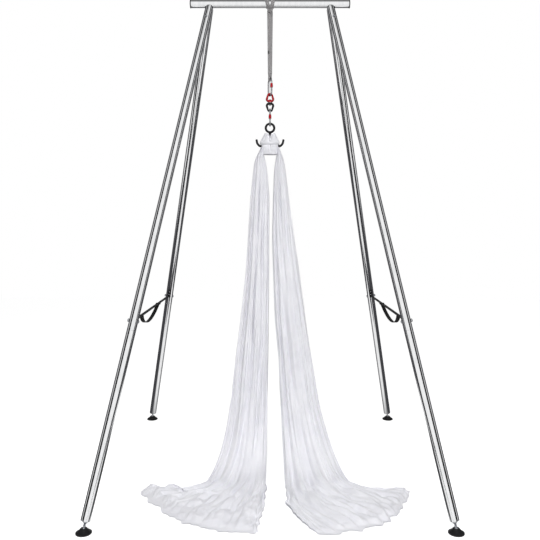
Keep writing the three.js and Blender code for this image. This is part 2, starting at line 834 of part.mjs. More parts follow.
// The sling: two turns on the bar, the bight that holds them, and the doubled webbing down to the carabiner.
function makeSling() {
  const inner = tubeRadius + seatGap;
  const outer = inner + slingPly;
  const shapes = [];
  for (const side of [-1, 1]) {
    const turn = pipe(outer, inner, -slingTurnWidth / 2, slingTurnWidth / 2);
    turn.rotateY(Math.PI / 2);
    turn.translate((side * (slingTurnWidth + slingTurnSpace)) / 2, 0, barHeight);
    shapes.push(turn);
  }
  const bightOuter = outer + 2 * slingPly;
  const bight = new THREE.Shape();
  const from = THREE.MathUtils.degToRad(slingBightStartDegrees);
  const to = THREE.MathUtils.degToRad(slingBightEndDegrees);
  bight.absarc(0, 0, bightOuter, from, to, false);
  bight.absarc(0, 0, outer - slingPly / 2, to, from, true);
  const wrap = new THREE.ExtrudeGeometry(bight, {
    depth: slingBightWidth,
    bevelEnabled: false,
    curveSegments: bightSteps,
  });
  wrap.rotateY(Math.PI / 2);
  wrap.rotateX(Math.PI / 2);
  wrap.translate(-slingBightWidth / 2, 0, barHeight);
  shapes.push(wrap);
  const hitchTop = barHeight - inner - slingPly / 2;
  const hitchBottom = barBottom - slingHitchDrop;
  const levels = [
    { z: hitchTop, width: slingBightWidth, depth: 4 * slingPly, twist: 0 },
    { z: hitchBottom + slingPly, width: slingBightWidth, depth: 5 * slingPly, twist: 0 },
    { z: hitchBottom, width: slingWidth, depth: slingNeckDepth, twist: 0 },
  ];
  const drop = hitchBottom - slingBottom;
  for (const share of slingLevelShares) {
    levels.push({
      z: hitchBottom - drop * share,
      width: THREE.MathUtils.lerp(slingWidth, slingFootWidth, share),
      depth: slingStrandDepth,
      twist: share ** 2,
    });
  }
  for (const [rise, depth] of [
    [slingSeatRise, slingStrandDepth],
    [slingSeatBulge, slingSeatThickness],
    [slingPly, slingSeatThickness * slingSeatShare],
    [0, slingSeatThickness * slingSeatFootShare],
  ]) {
    levels.push({ z: slingBottom + rise, width: slingFootWidth, depth, twist: 1 });
  }
  const rings = levels.map((level) => {
    const angle = THREE.MathUtils.degToRad(slingTwistDegrees * level.twist);
    return [[1, 1], [-1, 1], [-1, -1], [1, -1]].map(([x, y]) =>
      new THREE.Vector3((x * level.width) / 2, (y * level.depth) / 2, level.z).applyAxisAngle(
        new THREE.Vector3(0, 0, 1),
        angle,
      ),
    );
  });
  shapes.push(skin(rings));
  const seat = wireAlong(carabinerPath(), wireRadius + seatGap, false);
  seat.rotateZ(THREE.MathUtils.degToRad(upperCarabinerDegrees));
  seat.translate(0, 0, upperCarabinerMiddle);
  return cut(join(...shapes), seat);
}

// The wrap's half widths to the left and right, as shares of its height from the top and of its widest side.
const wrapLeftShares = [
  [0, 0.49],
  [0.3, 0.62],
  [0.44, 0.97],
  [0.53, 0.98],
  [0.61, 0.66],
  [0.74, 0.97],
  [1, 0.8],
];
const wrapRightShares = [
  [0, 0.49],
  [0.3, 0.55],
  [0.44, 0.78],
  [0.53, 0.8],
  [0.61, 0.63],
  [0.74, 0.92],
  [1, 0.76],
];
const wrapDepthShares = [[0, 0.5], [0.3, 0.7], [0.5, 1], [0.61, 0.86], [0.74, 1.05], [1, 0.95]];
const wrapBottom = largeRingHeight - largeRingRadius - eightWire - wrapFloor;

function makeSilkWrap() {
  const rings = [];
  for (const [share] of wrapLeftShares) {
    const ring = [];
    for (let i = 0; i < wrapSteps; i++) {
      const angle = (2 * Math.PI * i) / wrapSteps;
      const side = Math.cos(angle) < 0 ? wrapLeftShares : wrapRightShares;
      const ripple = 1 + (i % 2 ? -foldDepthShare / 2 : foldDepthShare / 2);
      ring.push(
        new THREE.Vector3(
          wrapWidest * between(side, share) * Math.cos(angle) * ripple,
          wrapDepth * between(wrapDepthShares, share) * Math.sin(angle) * ripple,
          wrapBottom + wrapHeight * (1 - share),
        ),
      );
    }
    rings.push(ring);
  }
  const pocketFloor = wrapBottom + wrapFloor - wrapPocketGap;
  const pocket = block(
    4 * wrapWidest,
    2 * (eightWire + wrapPocketGap),
    wrapHeight + cutOverrun,
    0,
    0,
    pocketFloor + (wrapHeight + cutOverrun) / 2,
  );
  const neck = rod(eightNeckRadius + wrapPocketGap, largeRingHeight + largeRingRadius, eightTop, smallSides);
  return cut(solid(skin(rings)), pocket, neck);
}

// Each tail's inner and outer edge: shares of the drop from the wrap, and of the tail's reach on the floor.
const leftInnerShares = [[0, 0.02], [0.02, 0.08], [0.15, 0.015], [0.41, 0.028], [0.67, 0.033], [1, 0.06]];
const leftOuterShares = [[0, 0.2], [0.02, 0.29], [0.15, 0.385], [0.41, 0.485], [0.67, 0.68], [1, 1]];
const rightInnerShares = [
  [0, 0.02],
  [0.02, 0.08],
  [0.15, 0.047],
  [0.28, 0.031],
  [0.54, 0.062],
  [0.67, 0.114],
  [1, 0.19],
];
const rightOuterShares = [
  [0, 0.15],
  [0.02, 0.217],
  [0.15, 0.306],
  [0.28, 0.388],
  [0.54, 0.57],
  [0.8, 0.768],
  [1, 1],
];

// Where the cloth lies on the floor: pairs of its inner and outer edge, from under the tail to the far tip,
// as shares of the reach.
const leftPoolShares = [
  [-0.02, -0.2, -0.36, -0.16],
  [-0.018, -0.4, -0.365, -0.24],
  [-0.018, -0.66, -0.375, -0.33],
  [-0.055, -0.8, -0.39, -0.37],
  [-0.075, -0.985, -0.42, -0.415],
  [-0.23, -0.95, -0.46, -0.45],
  [-0.34, -0.935, -0.49, -0.48],
  [-0.44, -0.865, -0.56, -0.48],
  [-0.51, -0.85, -0.617, -0.41],
  [-0.585, -0.765, -0.65, -0.44],
  [-0.645, -0.665, -0.69, -0.46],
  [-0.69, -0.6, -0.74, -0.41],
  [-0.765, -0.545, -0.757, -0.43],
];
const rightPoolShares = [
  [0.084, -0.2, 0.45, -0.15],
  [0.084, -0.455, 0.455, -0.25],
  [0.096, -0.57, 0.462, -0.3],
  [0.1, -0.7, 0.472, -0.35],
  [0.145, -0.8, 0.49, -0.4],
  [0.187, -0.895, 0.505, -0.435],
  [0.25, -0.99, 0.55, -0.455],
  [0.36, -0.97, 0.595, -0.47],
  [0.44, -0.89, 0.64, -0.47],
  [0.55, -0.875, 0.69, -0.47],
  [0.64, -0.84, 0.73, -0.47],
  [0.7, -0.75, 0.77, -0.465],
  [0.745, -0.65, 0.81, -0.46],
  [0.82, -0.545, 0.845, -0.472],
];
const tailLevelShares = [0, 0.02, 0.08, 0.15, 0.28, 0.41, 0.54, 0.67, 0.8, 0.91, 1];

// A tail hangs in upright folds from under the wrap, turns forwards at the floor and lies there. Its rings
// start at the outer side and go round by the rear, so that on the floor their front half becomes the upper
// side.
function makeSilkTail(side, reach, innerShares, outerShares, poolShares) {
  const top = wrapBottom - seatGap;
  const steps = foldsPerTail * stepsPerFold;
  const angles = Array.from({ length: steps }, (_, i) => (2 * Math.PI * i) / steps);
  const hanging = tailLevelShares.map((share) => {
    const inner = between(innerShares, share) * reach;
    const outer = between(outerShares, share) * reach;
    const depth = THREE.MathUtils.lerp(tailTopDepth, tailFootDepth, share);
    const tilt = (tailFootRise / 2) * share ** 12;
    return angles.map((angle) => {
      const fold = 1 - foldDepthShare * (1 - Math.cos(foldsPerTail * angle)) * (1 - share ** 12);
      return new THREE.Vector3(
        side * ((inner + outer) / 2 + fold * ((outer - inner) / 2) * Math.cos(angle)),
        -tailForward * share ** 3 + fold * depth * Math.sin(angle),
        THREE.MathUtils.lerp(top, silkBase + tailFootRise / 2, share) - tilt * Math.sin(angle),
      );
    });
  });
  const lying = poolShares.map(([innerX, innerY, outerX, outerY], row) => {
    const height = THREE.MathUtils.lerp(poolHeight, poolTipHeight, row / (poolShares.length - 1));
    return angles.map((angle) => {
      const across = (1 + Math.cos(angle)) / 2;
      const ripple = 1 + poolRippleShare * Math.sin(row + foldsPerTail * across);
      const fold = 1 - poolFoldShare * (1 - Math.cos(foldsPerTail * angle)) / 2;
      const rise = Math.sqrt(Math.max(0, -Math.sin(angle))) * height * fold * ripple;
      return new THREE.Vector3(
        THREE.MathUtils.lerp(innerX, outerX, across) * poolReach,
        THREE.MathUtils.lerp(innerY, outerY, across) * poolReach,
        silkBase + rise,
      );
    });
  });
  return solid(skin([...hanging, ...lying]));
}

function addSilk() {
  add("silk_wrap", makeSilkWrap(), paleSilk);
  const left = makeSilkTail(-1, tailLeftReach, leftInnerShares, leftOuterShares, leftPoolShares);
  add("silk_tail_left", left, paleSilk);
  const right = makeSilkTail(1, tailRightReach, rightInnerShares, rightOuterShares, rightPoolShares);
  add("silk_tail_right", right, paleSilk);
}

addFrame();
addStraps();
add("hang_sling", makeSling(), greyWebbing);
addCarabiner("upper", upperCarabinerMiddle, upperCarabinerDegrees, upperSleeveDrop);
addSwivel();
addCarabiner("lower", lowerCarabinerMiddle, lowerCarabinerDegrees, lowerSleeveDrop);
add("figure_eight", makeFigureEight(), blackAnodised);
addSilk();

export default root;
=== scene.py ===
import math
import random

import bmesh
import bpy
from mathutils import Matrix, Vector, noise


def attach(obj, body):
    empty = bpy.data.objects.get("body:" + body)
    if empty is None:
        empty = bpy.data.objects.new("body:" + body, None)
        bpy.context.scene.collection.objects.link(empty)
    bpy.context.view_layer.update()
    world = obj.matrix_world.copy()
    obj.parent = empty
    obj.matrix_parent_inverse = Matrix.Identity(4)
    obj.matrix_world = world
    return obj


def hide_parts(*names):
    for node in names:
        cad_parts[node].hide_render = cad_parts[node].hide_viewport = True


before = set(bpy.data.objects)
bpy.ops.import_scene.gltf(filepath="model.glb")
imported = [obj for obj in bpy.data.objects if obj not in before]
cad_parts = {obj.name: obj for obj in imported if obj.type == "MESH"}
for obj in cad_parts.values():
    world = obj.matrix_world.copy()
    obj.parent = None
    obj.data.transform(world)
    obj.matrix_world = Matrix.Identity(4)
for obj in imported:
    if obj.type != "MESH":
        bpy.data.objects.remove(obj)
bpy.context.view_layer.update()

# A free-standing aerial rig with its webbing sling, links and one long silk.
# Lengths are millimetres, +X to the right, +Y to the rear, +Z up from the floor.
MM = 0.001

# Clearance between two pieces that touch.
GAP = 0.3

# How far from its axis a turned piece starts.
AXIS = 0.2
CAP_AXIS = 0.5
PAD_AXIS = 0.3

# Frame tubes.
TUBE_RADIUS = 25
TUBE_WALL = 3
TUBE_EDGE = 0.6
PIPE_EDGE = 0.3
BAR_LENGTH = 1005
BAR_HEIGHT = 2925
LEG_START = 31
SPIGOT_START = 22
LEG_TOP_INSET = 121.5
FOOT_SPREAD_X = 918
FOOT_SPREAD_Y = 900
CAP_THICKNESS = 6
CAP_RIM = 1.5
CAP_PLUG_LENGTH = 22
UPPER_LEG_LENGTH = 2100
SCREW_DROP = 108
SCREW_RADIUS = 4
SCREW_HEAD_RADIUS = 7
SCREW_HEAD_HEIGHT = 4
SCREW_SOCKET_RADIUS = 3.2
SCREW_SOCKET_DEPTH = 2
BOLT_RISE = 52
BOLT_RADIUS = 5
BOLT_HEAD_RADIUS = 9
BOLT_HEAD_HEIGHT = 5.5
BOLT_RIM_SHARE = 0.2
BOLT_TIP = 2
NUT_THICKNESS = 7
NUT_CHAMFER = 0.9

# Levelling feet.
PAD_RADIUS = 40
PAD_HEIGHT = 27
PAD_EDGE = 6
PAD_TOP_RADIUS = 15
PAD_CHAMFER = 2
PAD_DISHING = 1.2
PAD_PIVOT = 24
SOCKET_LIP = 1
BALL_RADIUS = 9
STUD_RADIUS = 6
STUD_LENGTH = 88
STUD_CHAMFER = 2
THREAD_PITCH = 1.75
THREAD_DEPTH = 0.7
LEG_END_STANDOFF = 34
PLUG_LENGTH = 32
PLUG_RECESS = 3
LOCK_NUT_RADIUS = 14.5
LOCK_NUT_HALF = 10.5
LOCK_NUT_FIRST_DEGREES = -22
LOCK_NUT_LAST_DEGREES = 62

# Spreader straps.
STRAP_WIDTH = 24
STRAP_THICKNESS = 2.5
STRAP_RISE = 54
STRAP_TAB_LENGTH = 55
SLACK_FRONT = -390
SLACK_REAR = 140
SLACK_SAG = 62
SLACK_SKEW = 0.68
SLACK_OVERLAP = 0.25
SLIDER_WALL = 3
SLIDER_LENGTH = 16
SLIDER_BEVEL_SHARE = 0.8
SLIDER_END_SHARE = 0.9
RIVET_RADIUS = 4
RIVET_EDGE = 0.6
RIVET_SHOULDER = 1.6
RIVET_HEIGHT = 2
RIVET_CROWN_SHARE = 0.7
RIVET_TAB_SHARES = (0.75, 0.35)

# Sling.
SLING_WIDTH = 40
SLING_LOOP_WIDTH = 37
SLING_FOOT_WIDTH = 26
SLING_PLY = 3
SLING_EDGE = 1.2
SLING_TURN_WIDTH = 24
SLING_TURN_SPACE = 14
SLING_TURN_LEAN = 6.5
SLING_LEAN_SHARES = (0.5, 1.5)
SLING_TWIST = -8
SLING_TURNED_ABOVE = 62
SLING_DROOP_SHARE = 0.7
SLING_LEFT_CURL = 0.35
SLING_RIGHT_CURL = 1.9
SLING_RIDGE = 3
BIGHT_FIRST_DEGREES = 208
BIGHT_LAST_DEGREES = 298
BIGHT_WIDTH_SHARE = 0.75
BIGHT_SWELL_SHARE = 0.4

# The hitch knot: places down it as shares of its length, each with a width and a depth.
HITCH_DROP = 20
HITCH_SPREAD = 3
HITCH_WIDTH_SHARE = 0.8
KNOT_LENGTH_SHARE = 1.15
KNOT_SIZES = [(0, 30, 14), (0.2, 36, 22), (0.5, 33, 21), (0.8, 24, 16), (1, 17, 11)]
KNOT_SQUARENESS = 0.6
KNOT_PLEATS = 7
KNOT_PLEAT_SHARE = 0.05
KNOT_PLEAT_TWIST = 2

# Bar tack stitches in the sling's lower third.
TACK_SHARE = 0.61
TACK_ROWS = 5
TACK_STITCHES = 12
TACK_ROW_SPACE = 4
TACK_FROM = -15
TACK_TO = -5
TACK_ZIGZAG = 1.6
TACK_RADIUS = 0.55
TACK_END_RADIUS = 0.3
TACK_LIFT = 0.3
TACK_SIDES = 6

# Carabiners.
WIRE_RADIUS = 5.5
CARABINER_HEIGHT = 115
CARABINER_WIDTH = 62
NOSE_HEIGHT = 22
GATE_PIN_DROP = 20.5
NOSE_GAP = 0.6
TANG_THICKNESS = 4
TANG_OVERLAP = 0.2
CHEEK_EDGE = 0.3
GATE_THREAD_PITCH = 1.25
GATE_STOP_HEIGHT = -13.9
GATE_STOP_LENGTH = 1.5
GATE_STOP_RIM = 1.2
SLEEVE_LENGTH = 26
SLEEVE_WALL = 2.4
SLEEVE_CLEARANCE = 0.5
SLEEVE_BORE_EDGE = 0.3
SLEEVE_RIBS = 12
SLEEVE_RIB_HEIGHT = 0.5
SLEEVE_RIB_START_SHARE = 0.3
SLEEVE_GROOVE_DEPTH = 0.5
SLEEVE_GROOVE_PLACES = (0.6, 2.2, 2.8)
UPPER_CARABINER_DEGREES = -68
LOWER_CARABINER_DEGREES = -90
UPPER_SLEEVE_DROP = 0.6
LOWER_SLEEVE_DROP = 8

# Swivel.
SWIVEL_HEIGHT = 59
SWIVEL_WIDTH = 61
SWIVEL_WIRE = 5.5
SWIVEL_SWELL = 0.28
SWIVEL_SWELL_EASE = 10
SWIVEL_APEX_RADIUS = 8.5
SWIVEL_APEX_SHARE = 0.42
SWIVEL_CORNER_RADIUS = 14
SWIVEL_BOSS_RADIUS = 13
SWIVEL_BOSS_HEIGHT = 8
SWIVEL_BOSS_BEVEL = 2
AXLE_RADIUS = 4.5
AXLE_HEAD_RADIUS = 7.5
AXLE_HEAD_HEIGHT = 4
AXLE_HEAD_EDGE = 1
BEARING_HEIGHT = 3

# Figure-eight.
EIGHT_DROP = 756
EIGHT_WIRE = 6.5
SMALL_RING_RADIUS = 27
SMALL_RING_SWELL = 1.12
LARGE_RING_RADIUS = 45.5
EIGHT_NECK = 22
EIGHT_NECK_RADIUS = 8
EIGHT_NECK_FLARE = 3
EAR_WIRE = 5.5
EAR_SWELL = 1.3
EAR_TIP_SHARE = 0.9
EAR_REACH = 40
EAR_DIP = 8
EAR_RISE = 31
EAR_BEND_SHARE = 0.4
EAR_TURN_SHARE = 0.85
EAR_TURN_RISE_SHARE = 0.25

# The silk's wrap on the figure-eight: two lobes with a notch between them, over a turned band.
WRAP_HEIGHT = 135
WRAP_DEPTH = 34
WRAP_WIDEST = 71
WRAP_FLOOR = 10
WRAP_SEED = 11
WRAP_PLEATS = 3
WRAP_PLEAT_COUNTS = (5, 9)
WRAP_PLEAT_TURNS = (0.1, 0.5)
WRAP_EASE_SHARE = 0.05
BAND_START_SHARE = 0.52
BAND_EASE_SHARE = 0.1
LOBE_RIPPLE_SHARE = 0.06
BAND_RIPPLE_SHARE = 0.03
NOTCH_DROP = 22
NOTCH_WIDTH_SHARE = 0.16
NOTCH_LENGTH_SHARE = 0.5
NOTCH_DEPTH_SHARE = 0.5
BAND_CREASE_WIDTH_SHARE = 0.1
BAND_CREASE_START_SHARE = 0.6
BAND_CREASE_LENGTH_SHARE = 0.35
BAND_CREASE_DEPTH_SHARE = 0.25
TUCK_PLACE_SHARE = 0.56
TUCK_WIDTH_SHARE = 0.035
TUCK_DEPTH_SHARE = 0.16

# The wrap's half widths to the left and right and its depth, as shares of its height from the top and of its
# widest side.
WRAP_LEFT = [
    (0, 0.5), (0.1, 0.56), (0.3, 0.78), (0.42, 0.93), (0.5, 0.9), (0.58, 0.74), (0.7, 0.8), (0.85, 0.8),
    (1, 0.72),
]
WRAP_RIGHT = [
    (0, 0.48), (0.1, 0.56), (0.3, 0.74), (0.42, 0.86), (0.5, 0.82), (0.58, 0.7), (0.7, 0.78), (0.85, 0.78),
    (1, 0.7),
]
WRAP_DEEP = [(0, 0.5), (0.3, 0.78), (0.45, 0.95), (0.58, 0.8), (0.75, 0.98), (1, 0.9)]

# The silk's two hanging tails.
SILK_BASE = 2
TAIL_TOP_DEPTH = 30
TAIL_FOOT_DEPTH = 95
TAIL_FORWARD = 45
TAIL_FOOT_RISE = 62
TILT_SUDDENNESS = 12
TAIL_LEFT_REACH = 330
TAIL_RIGHT_REACH = 405
TAIL_LEFT_SEED = 5
TAIL_RIGHT_SEED = 9
TAIL_LEAD_SHARE = 0.018
TAIL_EASE_SHARE = 0.015
TAIL_SEAM_SHARE = 0.02
BEND_ABOVE_ROWS = 26
BEND_BEYOND_ROWS = 34

# A tail's inner and outer edge, as shares of its hang from the top and of its reach.
LEFT_INNER = [
    (-0.02, 0.14), (0, 0.13), (0.022, 0.09), (0.06, 0.05), (0.15, 0.012), (0.41, 0.02), (0.67, 0.025),
    (1, 0.05),
]
LEFT_OUTER = [
    (-0.02, 0.16), (0, 0.23), (0.022, 0.3), (0.15, 0.385), (0.41, 0.485), (0.67, 0.67), (0.85, 0.8),
    (1, 0.92),
]
RIGHT_INNER = [
    (-0.02, 0.12), (0, 0.11), (0.022, 0.085), (0.06, 0.062), (0.15, 0.047), (0.28, 0.031), (0.54, 0.062),
    (0.67, 0.114), (1, 0.19),
]
RIGHT_OUTER = [
    (-0.02, 0.14), (0, 0.175), (0.022, 0.225), (0.15, 0.306), (0.28, 0.388), (0.54, 0.57), (0.8, 0.768),
    (1, 1),
]

# Upright folds. Each kind has a count, a least and greatest width, and a least and greatest depth. The
# widths and depths are shares of the way round the tail and of its thickness.
FOLD_KINDS = [(15, 0.01, 0.026, 0.4, 1.0), (16, 0.005, 0.009, 0.12, 0.3)]
FOLD_PLACE_SHARES = (0.1, 0.9)
FOLD_SWING_SHARE = 0.025
FOLD_REACH = 3
FOLD_KEPT_SHARE = 0.55
FOLD_FADING_SHARE = 0.75
FOLD_DRIFT_WAVES = 3
FOLD_DRIFT_PACE = 3
FOLD_FADE_WAVES = 5
FOLD_FADE_PACE = 4
FOLD_TOP_DEPTH_SHARE = 0.45
FOLD_DEEPENING_PACE = 3
FOLD_DEPTH_SHARE = 0.62
FOLD_SIDE_DEPTH_SHARE = 0.25
LASTING_FOLD_WIDTH_SHARE = 0.02
LASTING_FOLD_DEPTH_SHARE = 0.9
LASTING_LEFT_SHARE = 0.35
LASTING_RIGHT_SHARE = 0.11
WAVE_SIZE_SHARES = (0.6, 1)
WAVE_PACE_SHARES = (0.4, 1)
SWELLS = 3
SWELL_PACES = (1.2, 3.2)
SWELL_DRIFT_WAVES = 2
SWELL_DRIFT_PACE = 2
SWELL_DEPTH_SHARE = 0.1

# Where the cloth fans out on the floor, as shares of its reach: its inner and outer edge from under the tail
# to the hem, and how far the hem's middle bulges out.
POOL_REACH = 925
POOL_HEIGHT = 56
POOL_TIP_HEIGHT = 24
POOL_SCALLOP = 24
POOL_ROUNDING = 0.55
POOL_THINNING_PACE = 12
POOL_SWELL_SHARE = 0.22
POOL_FOLD_DEPTH_SHARE = 0.85
LAYER_GAP = 3
LEFT_POOL = [
    (-0.02, -0.2, -0.36, -0.16), (-0.019, -0.3, -0.375, -0.29), (-0.019, -0.42, -0.44, -0.405),
    (-0.02, -0.55, -0.56, -0.46), (-0.022, -0.66, -0.621, -0.38), (-0.04, -0.75, -0.686, -0.402),
    (-0.052, -0.86, -0.758, -0.366), (-0.07, -0.985, -0.793, -0.483),
]
RIGHT_POOL = [
    (0.084, -0.2, 0.45, -0.15), (0.084, -0.33, 0.475, -0.29), (0.086, -0.45, 0.535, -0.375),
    (0.09, -0.57, 0.61, -0.42), (0.1, -0.68, 0.69, -0.43), (0.14, -0.79, 0.77, -0.425),
    (0.19, -0.9, 0.835, -0.415), (0.25, -0.99, 0.865, -0.45),
]
LEFT_BULGE = (-0.04, -0.12)
RIGHT_BULGE = (0.07, -0.14)
BULGE_GROWTH = 1.5

# Creases that cross the folds, low on the tail and on the floor.
CREASE_PACE = 21
CREASE_LENGTH_PACE = 2.8
CREASE_START_SHARE = 0.3
CREASE_GROWTH_SHARE = 0.5
CREASE_INWARD_SHARE = 0.3
CREASE_DEPTH = 28
CREASE_ROUNDING = 0.4
CREASE_FADING_PACE = 9
FLOOR_CREASE_SIZE = 80
FLOOR_CREASE_HEIGHT = 6
FLOOR_CREASE_START_SHARE = 0.4
FLOOR_CREASE_LEVEL = 2
WRINKLE_SHARPNESS = (3.2, 3.5)
WRINKLE_SIZES = (1, 2.3)
WRINKLE_SHARES = (0.65, 0.35)
EDGE_RAGGED_PACE = 9
EDGE_START_PACE = 4
EDGE_NARROWNESS = 6
EDGES_APART = 4
EDGE_CREASE_SHARE = 0.5
HEM_START_SHARE = 0.75
HEM_SCALLOP_SHARE = 1.6
HEM_RAGGED_PACES = (7, 19)
HEM_RAGGED_LEVEL = 3
HEM_RAGGED_SHARES = (1, 0.6)

# The camera stands level, as the upright legs and links of the photograph show.
CAMERA_DISTANCE = 3974
CAMERA_HEIGHT = 1523
LENS = 41.6
SENSOR = 36
HORIZON_SHIFT = -0.0848

# Studio floor. For what metal mirrors, it is painted from white to dark between these places beside and
# behind the rig, and painted dark under the rig: a painted reflection.
FLOOR_HALF = 9000
FLOOR_WHITE_HALF = 860
FLOOR_DARK_HALF = 1080
FLOOR_NARROWING = 0.12
FLOOR_WHITE_REAR = 700
FLOOR_DARK_REAR = 1000
FLOOR_UNDER_HALF = 600
FLOOR_UNDER_FRONT = -930
FLOOR_UNDER_REAR = -100
FLOOR_UNDER_BLUR = 110
FLOOR_REAR_DARKNESS = 0.8
FLOOR_GLOW = 0.64

# Dark backdrops that lean beside the rig.
BACKDROP_DEGREES = 48
BACKDROP_DISTANCE = 850
BACKDROP_WIDTH = 660
BACKDROP_LOW = 150
BACKDROP_HIGH = 4200

# Lamps: where each stands, what it points at, its size, its power in watts and its spread in degrees.
KEY_LAMP = ((-900, -5700, 5600), (0, -700, 0), 2800, 39, 64)
FILL_LAMP = ((3200, -4200, 3400), (0, 0, 900), 2600, 58, 180)
AMBIENT_STRENGTH = 0.44

# Patterns in the surfaces.
METAL_CLOUD_SIZE = 60
TUBE_CLOUD_SIZE = 180
BELT_MARK_SIZE = 14
BELT_MARK_DEPTH = 0.05
BELT_MARK_SLANT = (0.5, 0.9, 0.35)
BELT_MARK_STRETCH = (1.0, 1.0, 0.06)
SCUFF_SIZE = 14
WEBBING_CLOUD_SIZE = 30
WEAVE_DEPTH = 0.4
KNIT_SIZE = 3
KNIT_DEPTH = 0.3
SILK_CLOUD_SIZE = 140

# Counts of sides and steps: they set how smooth a piece is.
TUBE_SIDES = 96
PAD_SIDES = 96
ROD_SIDES = 48
WIRE_SIDES = 20
THREAD_SIDES = 32
HEX_SIDES = 6
NUT_FACE_STEPS = 12
CORNER_STEPS = 14
SMALL_RING_STEPS = 72
LARGE_RING_STEPS = 96
EAR_STEPS = 28
ARC_STEPS = 8
LOCK_NUT_STEPS = 16
RIBBON_EDGE_STEPS = 3
STRAP_STEPS = 60
TAB_STEPS = 20
BIGHT_STEPS = 32
STRAND_STEPS = 90
FOOT_TURN_STEPS = 16
WRAP_ROWS = 64
WRAP_COLUMNS = 200
HANG_ROWS = 150
POOL_ROWS = 150
TAIL_COLUMNS = 300

# Sharpest turn between two faces that still shades as one surface.
SOFT_EDGE = math.radians(34)

# Derived sizes.
BORE_RADIUS = TUBE_RADIUS - TUBE_WALL
LEG_TOP_SPREAD = BAR_LENGTH / 2 - LEG_TOP_INSET
LEG_LENGTH = math.hypot(FOOT_SPREAD_X - LEG_TOP_SPREAD, FOOT_SPREAD_Y, BAR_HEIGHT - PAD_PIVOT)
LEG_END = LEG_LENGTH - LEG_END_STANDOFF
PLUG_FACE = LEG_END - PLUG_RECESS
BOLT_SEAT = TUBE_RADIUS + GAP
BOLT_DROP = UPPER_LEG_LENGTH - BOLT_RISE
STRAP_DROP = UPPER_LEG_LENGTH - STRAP_RISE
CARABINER_SIDE = CARABINER_WIDTH / 2 - WIRE_RADIUS
CARABINER_END = CARABINER_HEIGHT / 2 - WIRE_RADIUS
GATE_BOTTOM = GATE_PIN_DROP + WIRE_RADIUS + GAP

# The links' places, from the figure-eight up to the sling.
EIGHT_TOP = BAR_HEIGHT - EIGHT_DROP
SMALL_RING_HEIGHT = EIGHT_TOP - EIGHT_WIRE - SMALL_RING_RADIUS
LARGE_RING_HEIGHT = SMALL_RING_HEIGHT - SMALL_RING_RADIUS - 2 * EIGHT_WIRE - EIGHT_NECK - LARGE_RING_RADIUS
LOWER_CARABINER = EIGHT_TOP - 2 * EIGHT_WIRE - GAP - 2 * WIRE_RADIUS + CARABINER_HEIGHT / 2
SWIVEL_BOTTOM = LOWER_CARABINER + CARABINER_HEIGHT / 2 - 2 * WIRE_RADIUS - GAP - 2 * SWIVEL_WIRE
SWIVEL_MIDDLE = SWIVEL_BOTTOM + SWIVEL_HEIGHT + BEARING_HEIGHT / 2
SWIVEL_TOP = SWIVEL_MIDDLE + BEARING_HEIGHT / 2 + SWIVEL_HEIGHT
UPPER_CARABINER = SWIVEL_TOP - 2 * SWIVEL_WIRE - GAP - 2 * WIRE_RADIUS + CARABINER_HEIGHT / 2
WRAP_BOTTOM = LARGE_RING_HEIGHT - LARGE_RING_RADIUS - EIGHT_WIRE - WRAP_FLOOR

# The sling's turns lie on the bar, and its strands run from under them to the upper carabiner's wire.
SLING_INNER = TUBE_RADIUS + GAP
SLING_OUTER = SLING_INNER + SLING_PLY
SLING_HITCH = BAR_HEIGHT - SLING_OUTER - SLING_PLY
SLING_FOOT = UPPER_CARABINER + CARABINER_END

CORNERS = [
    ("front_left", -1, -1),
    ("front_right", 1, -1),
    ("rear_left", -1, 1),
    ("rear_right", 1, 1),
]


def lerp(a, b, share):
    return a + (b - a) * share


def between(table, place):
    """Straight line between listed pairs of place and value."""
    for (a, value_a), (b, value_b) in zip(table, table[1:]):
        if place <= b:
            break
    return lerp(value_a, value_b, (place - a) / (b - a))


def smooth(share):
    share = min(1, max(0, share))
    return share * share * (3 - 2 * share)


def wander(rng, waves):
    """A slow random line between about -1 and 1, from a few waves."""
    parts = [
        (rng.uniform(*WAVE_SIZE_SHARES), (k + rng.uniform(*WAVE_PACE_SHARES)) * math.pi,
         rng.uniform(0, math.tau))
        for k in range(waves)
    ]
    total = sum(size for size, pace, start in parts)
    return lambda place: sum(size * math.sin(pace * place + start) for size, pace, start in parts) / total


# Colours and materials.

def colour(code):
    """A hex sRGB colour as the linear colour that a shader takes."""
    channels = []
    for at in (1, 3, 5):
        value = int(code[at:at + 2], 16) / 255
        channels.append(value / 12.92 if value <= 0.04045 else ((value + 0.055) / 1.055) ** 2.4)
    return (*channels, 1)


def add_node(tree, kind, settings=None, links=None):
    """Adds one node, sets its inputs and properties by name and links other nodes' outputs to it."""
    node = tree.nodes.new(kind)
    for name, value in (settings or {}).items():
        if isinstance(name, int) or name in node.inputs:
            node.inputs[name].default_value = value
        else:
            setattr(node, name, value)
    for name, source in (links or {}).items():
        tree.links.new(source, node.inputs[name])
    return node


def new_material(name):
    material = bpy.data.materials.new(name)
    material.use_nodes = True
    material.node_tree.nodes.clear()
    return material, material.node_tree


def stops(ramp, *pairs):
    """Sets a ramp's stops from pairs of place and colour code."""
    elements = ramp.color_ramp.elements
    while len(elements) < len(pairs):
        elements.new(0.5)
    for element, (place, code) in zip(elements, pairs):
        element.position = place
        element.color = colour(code)
    return ramp


def metres(size):
    """Pattern repeats per metre for one repeat of this many millimetres."""
    return 1 / (size * MM)


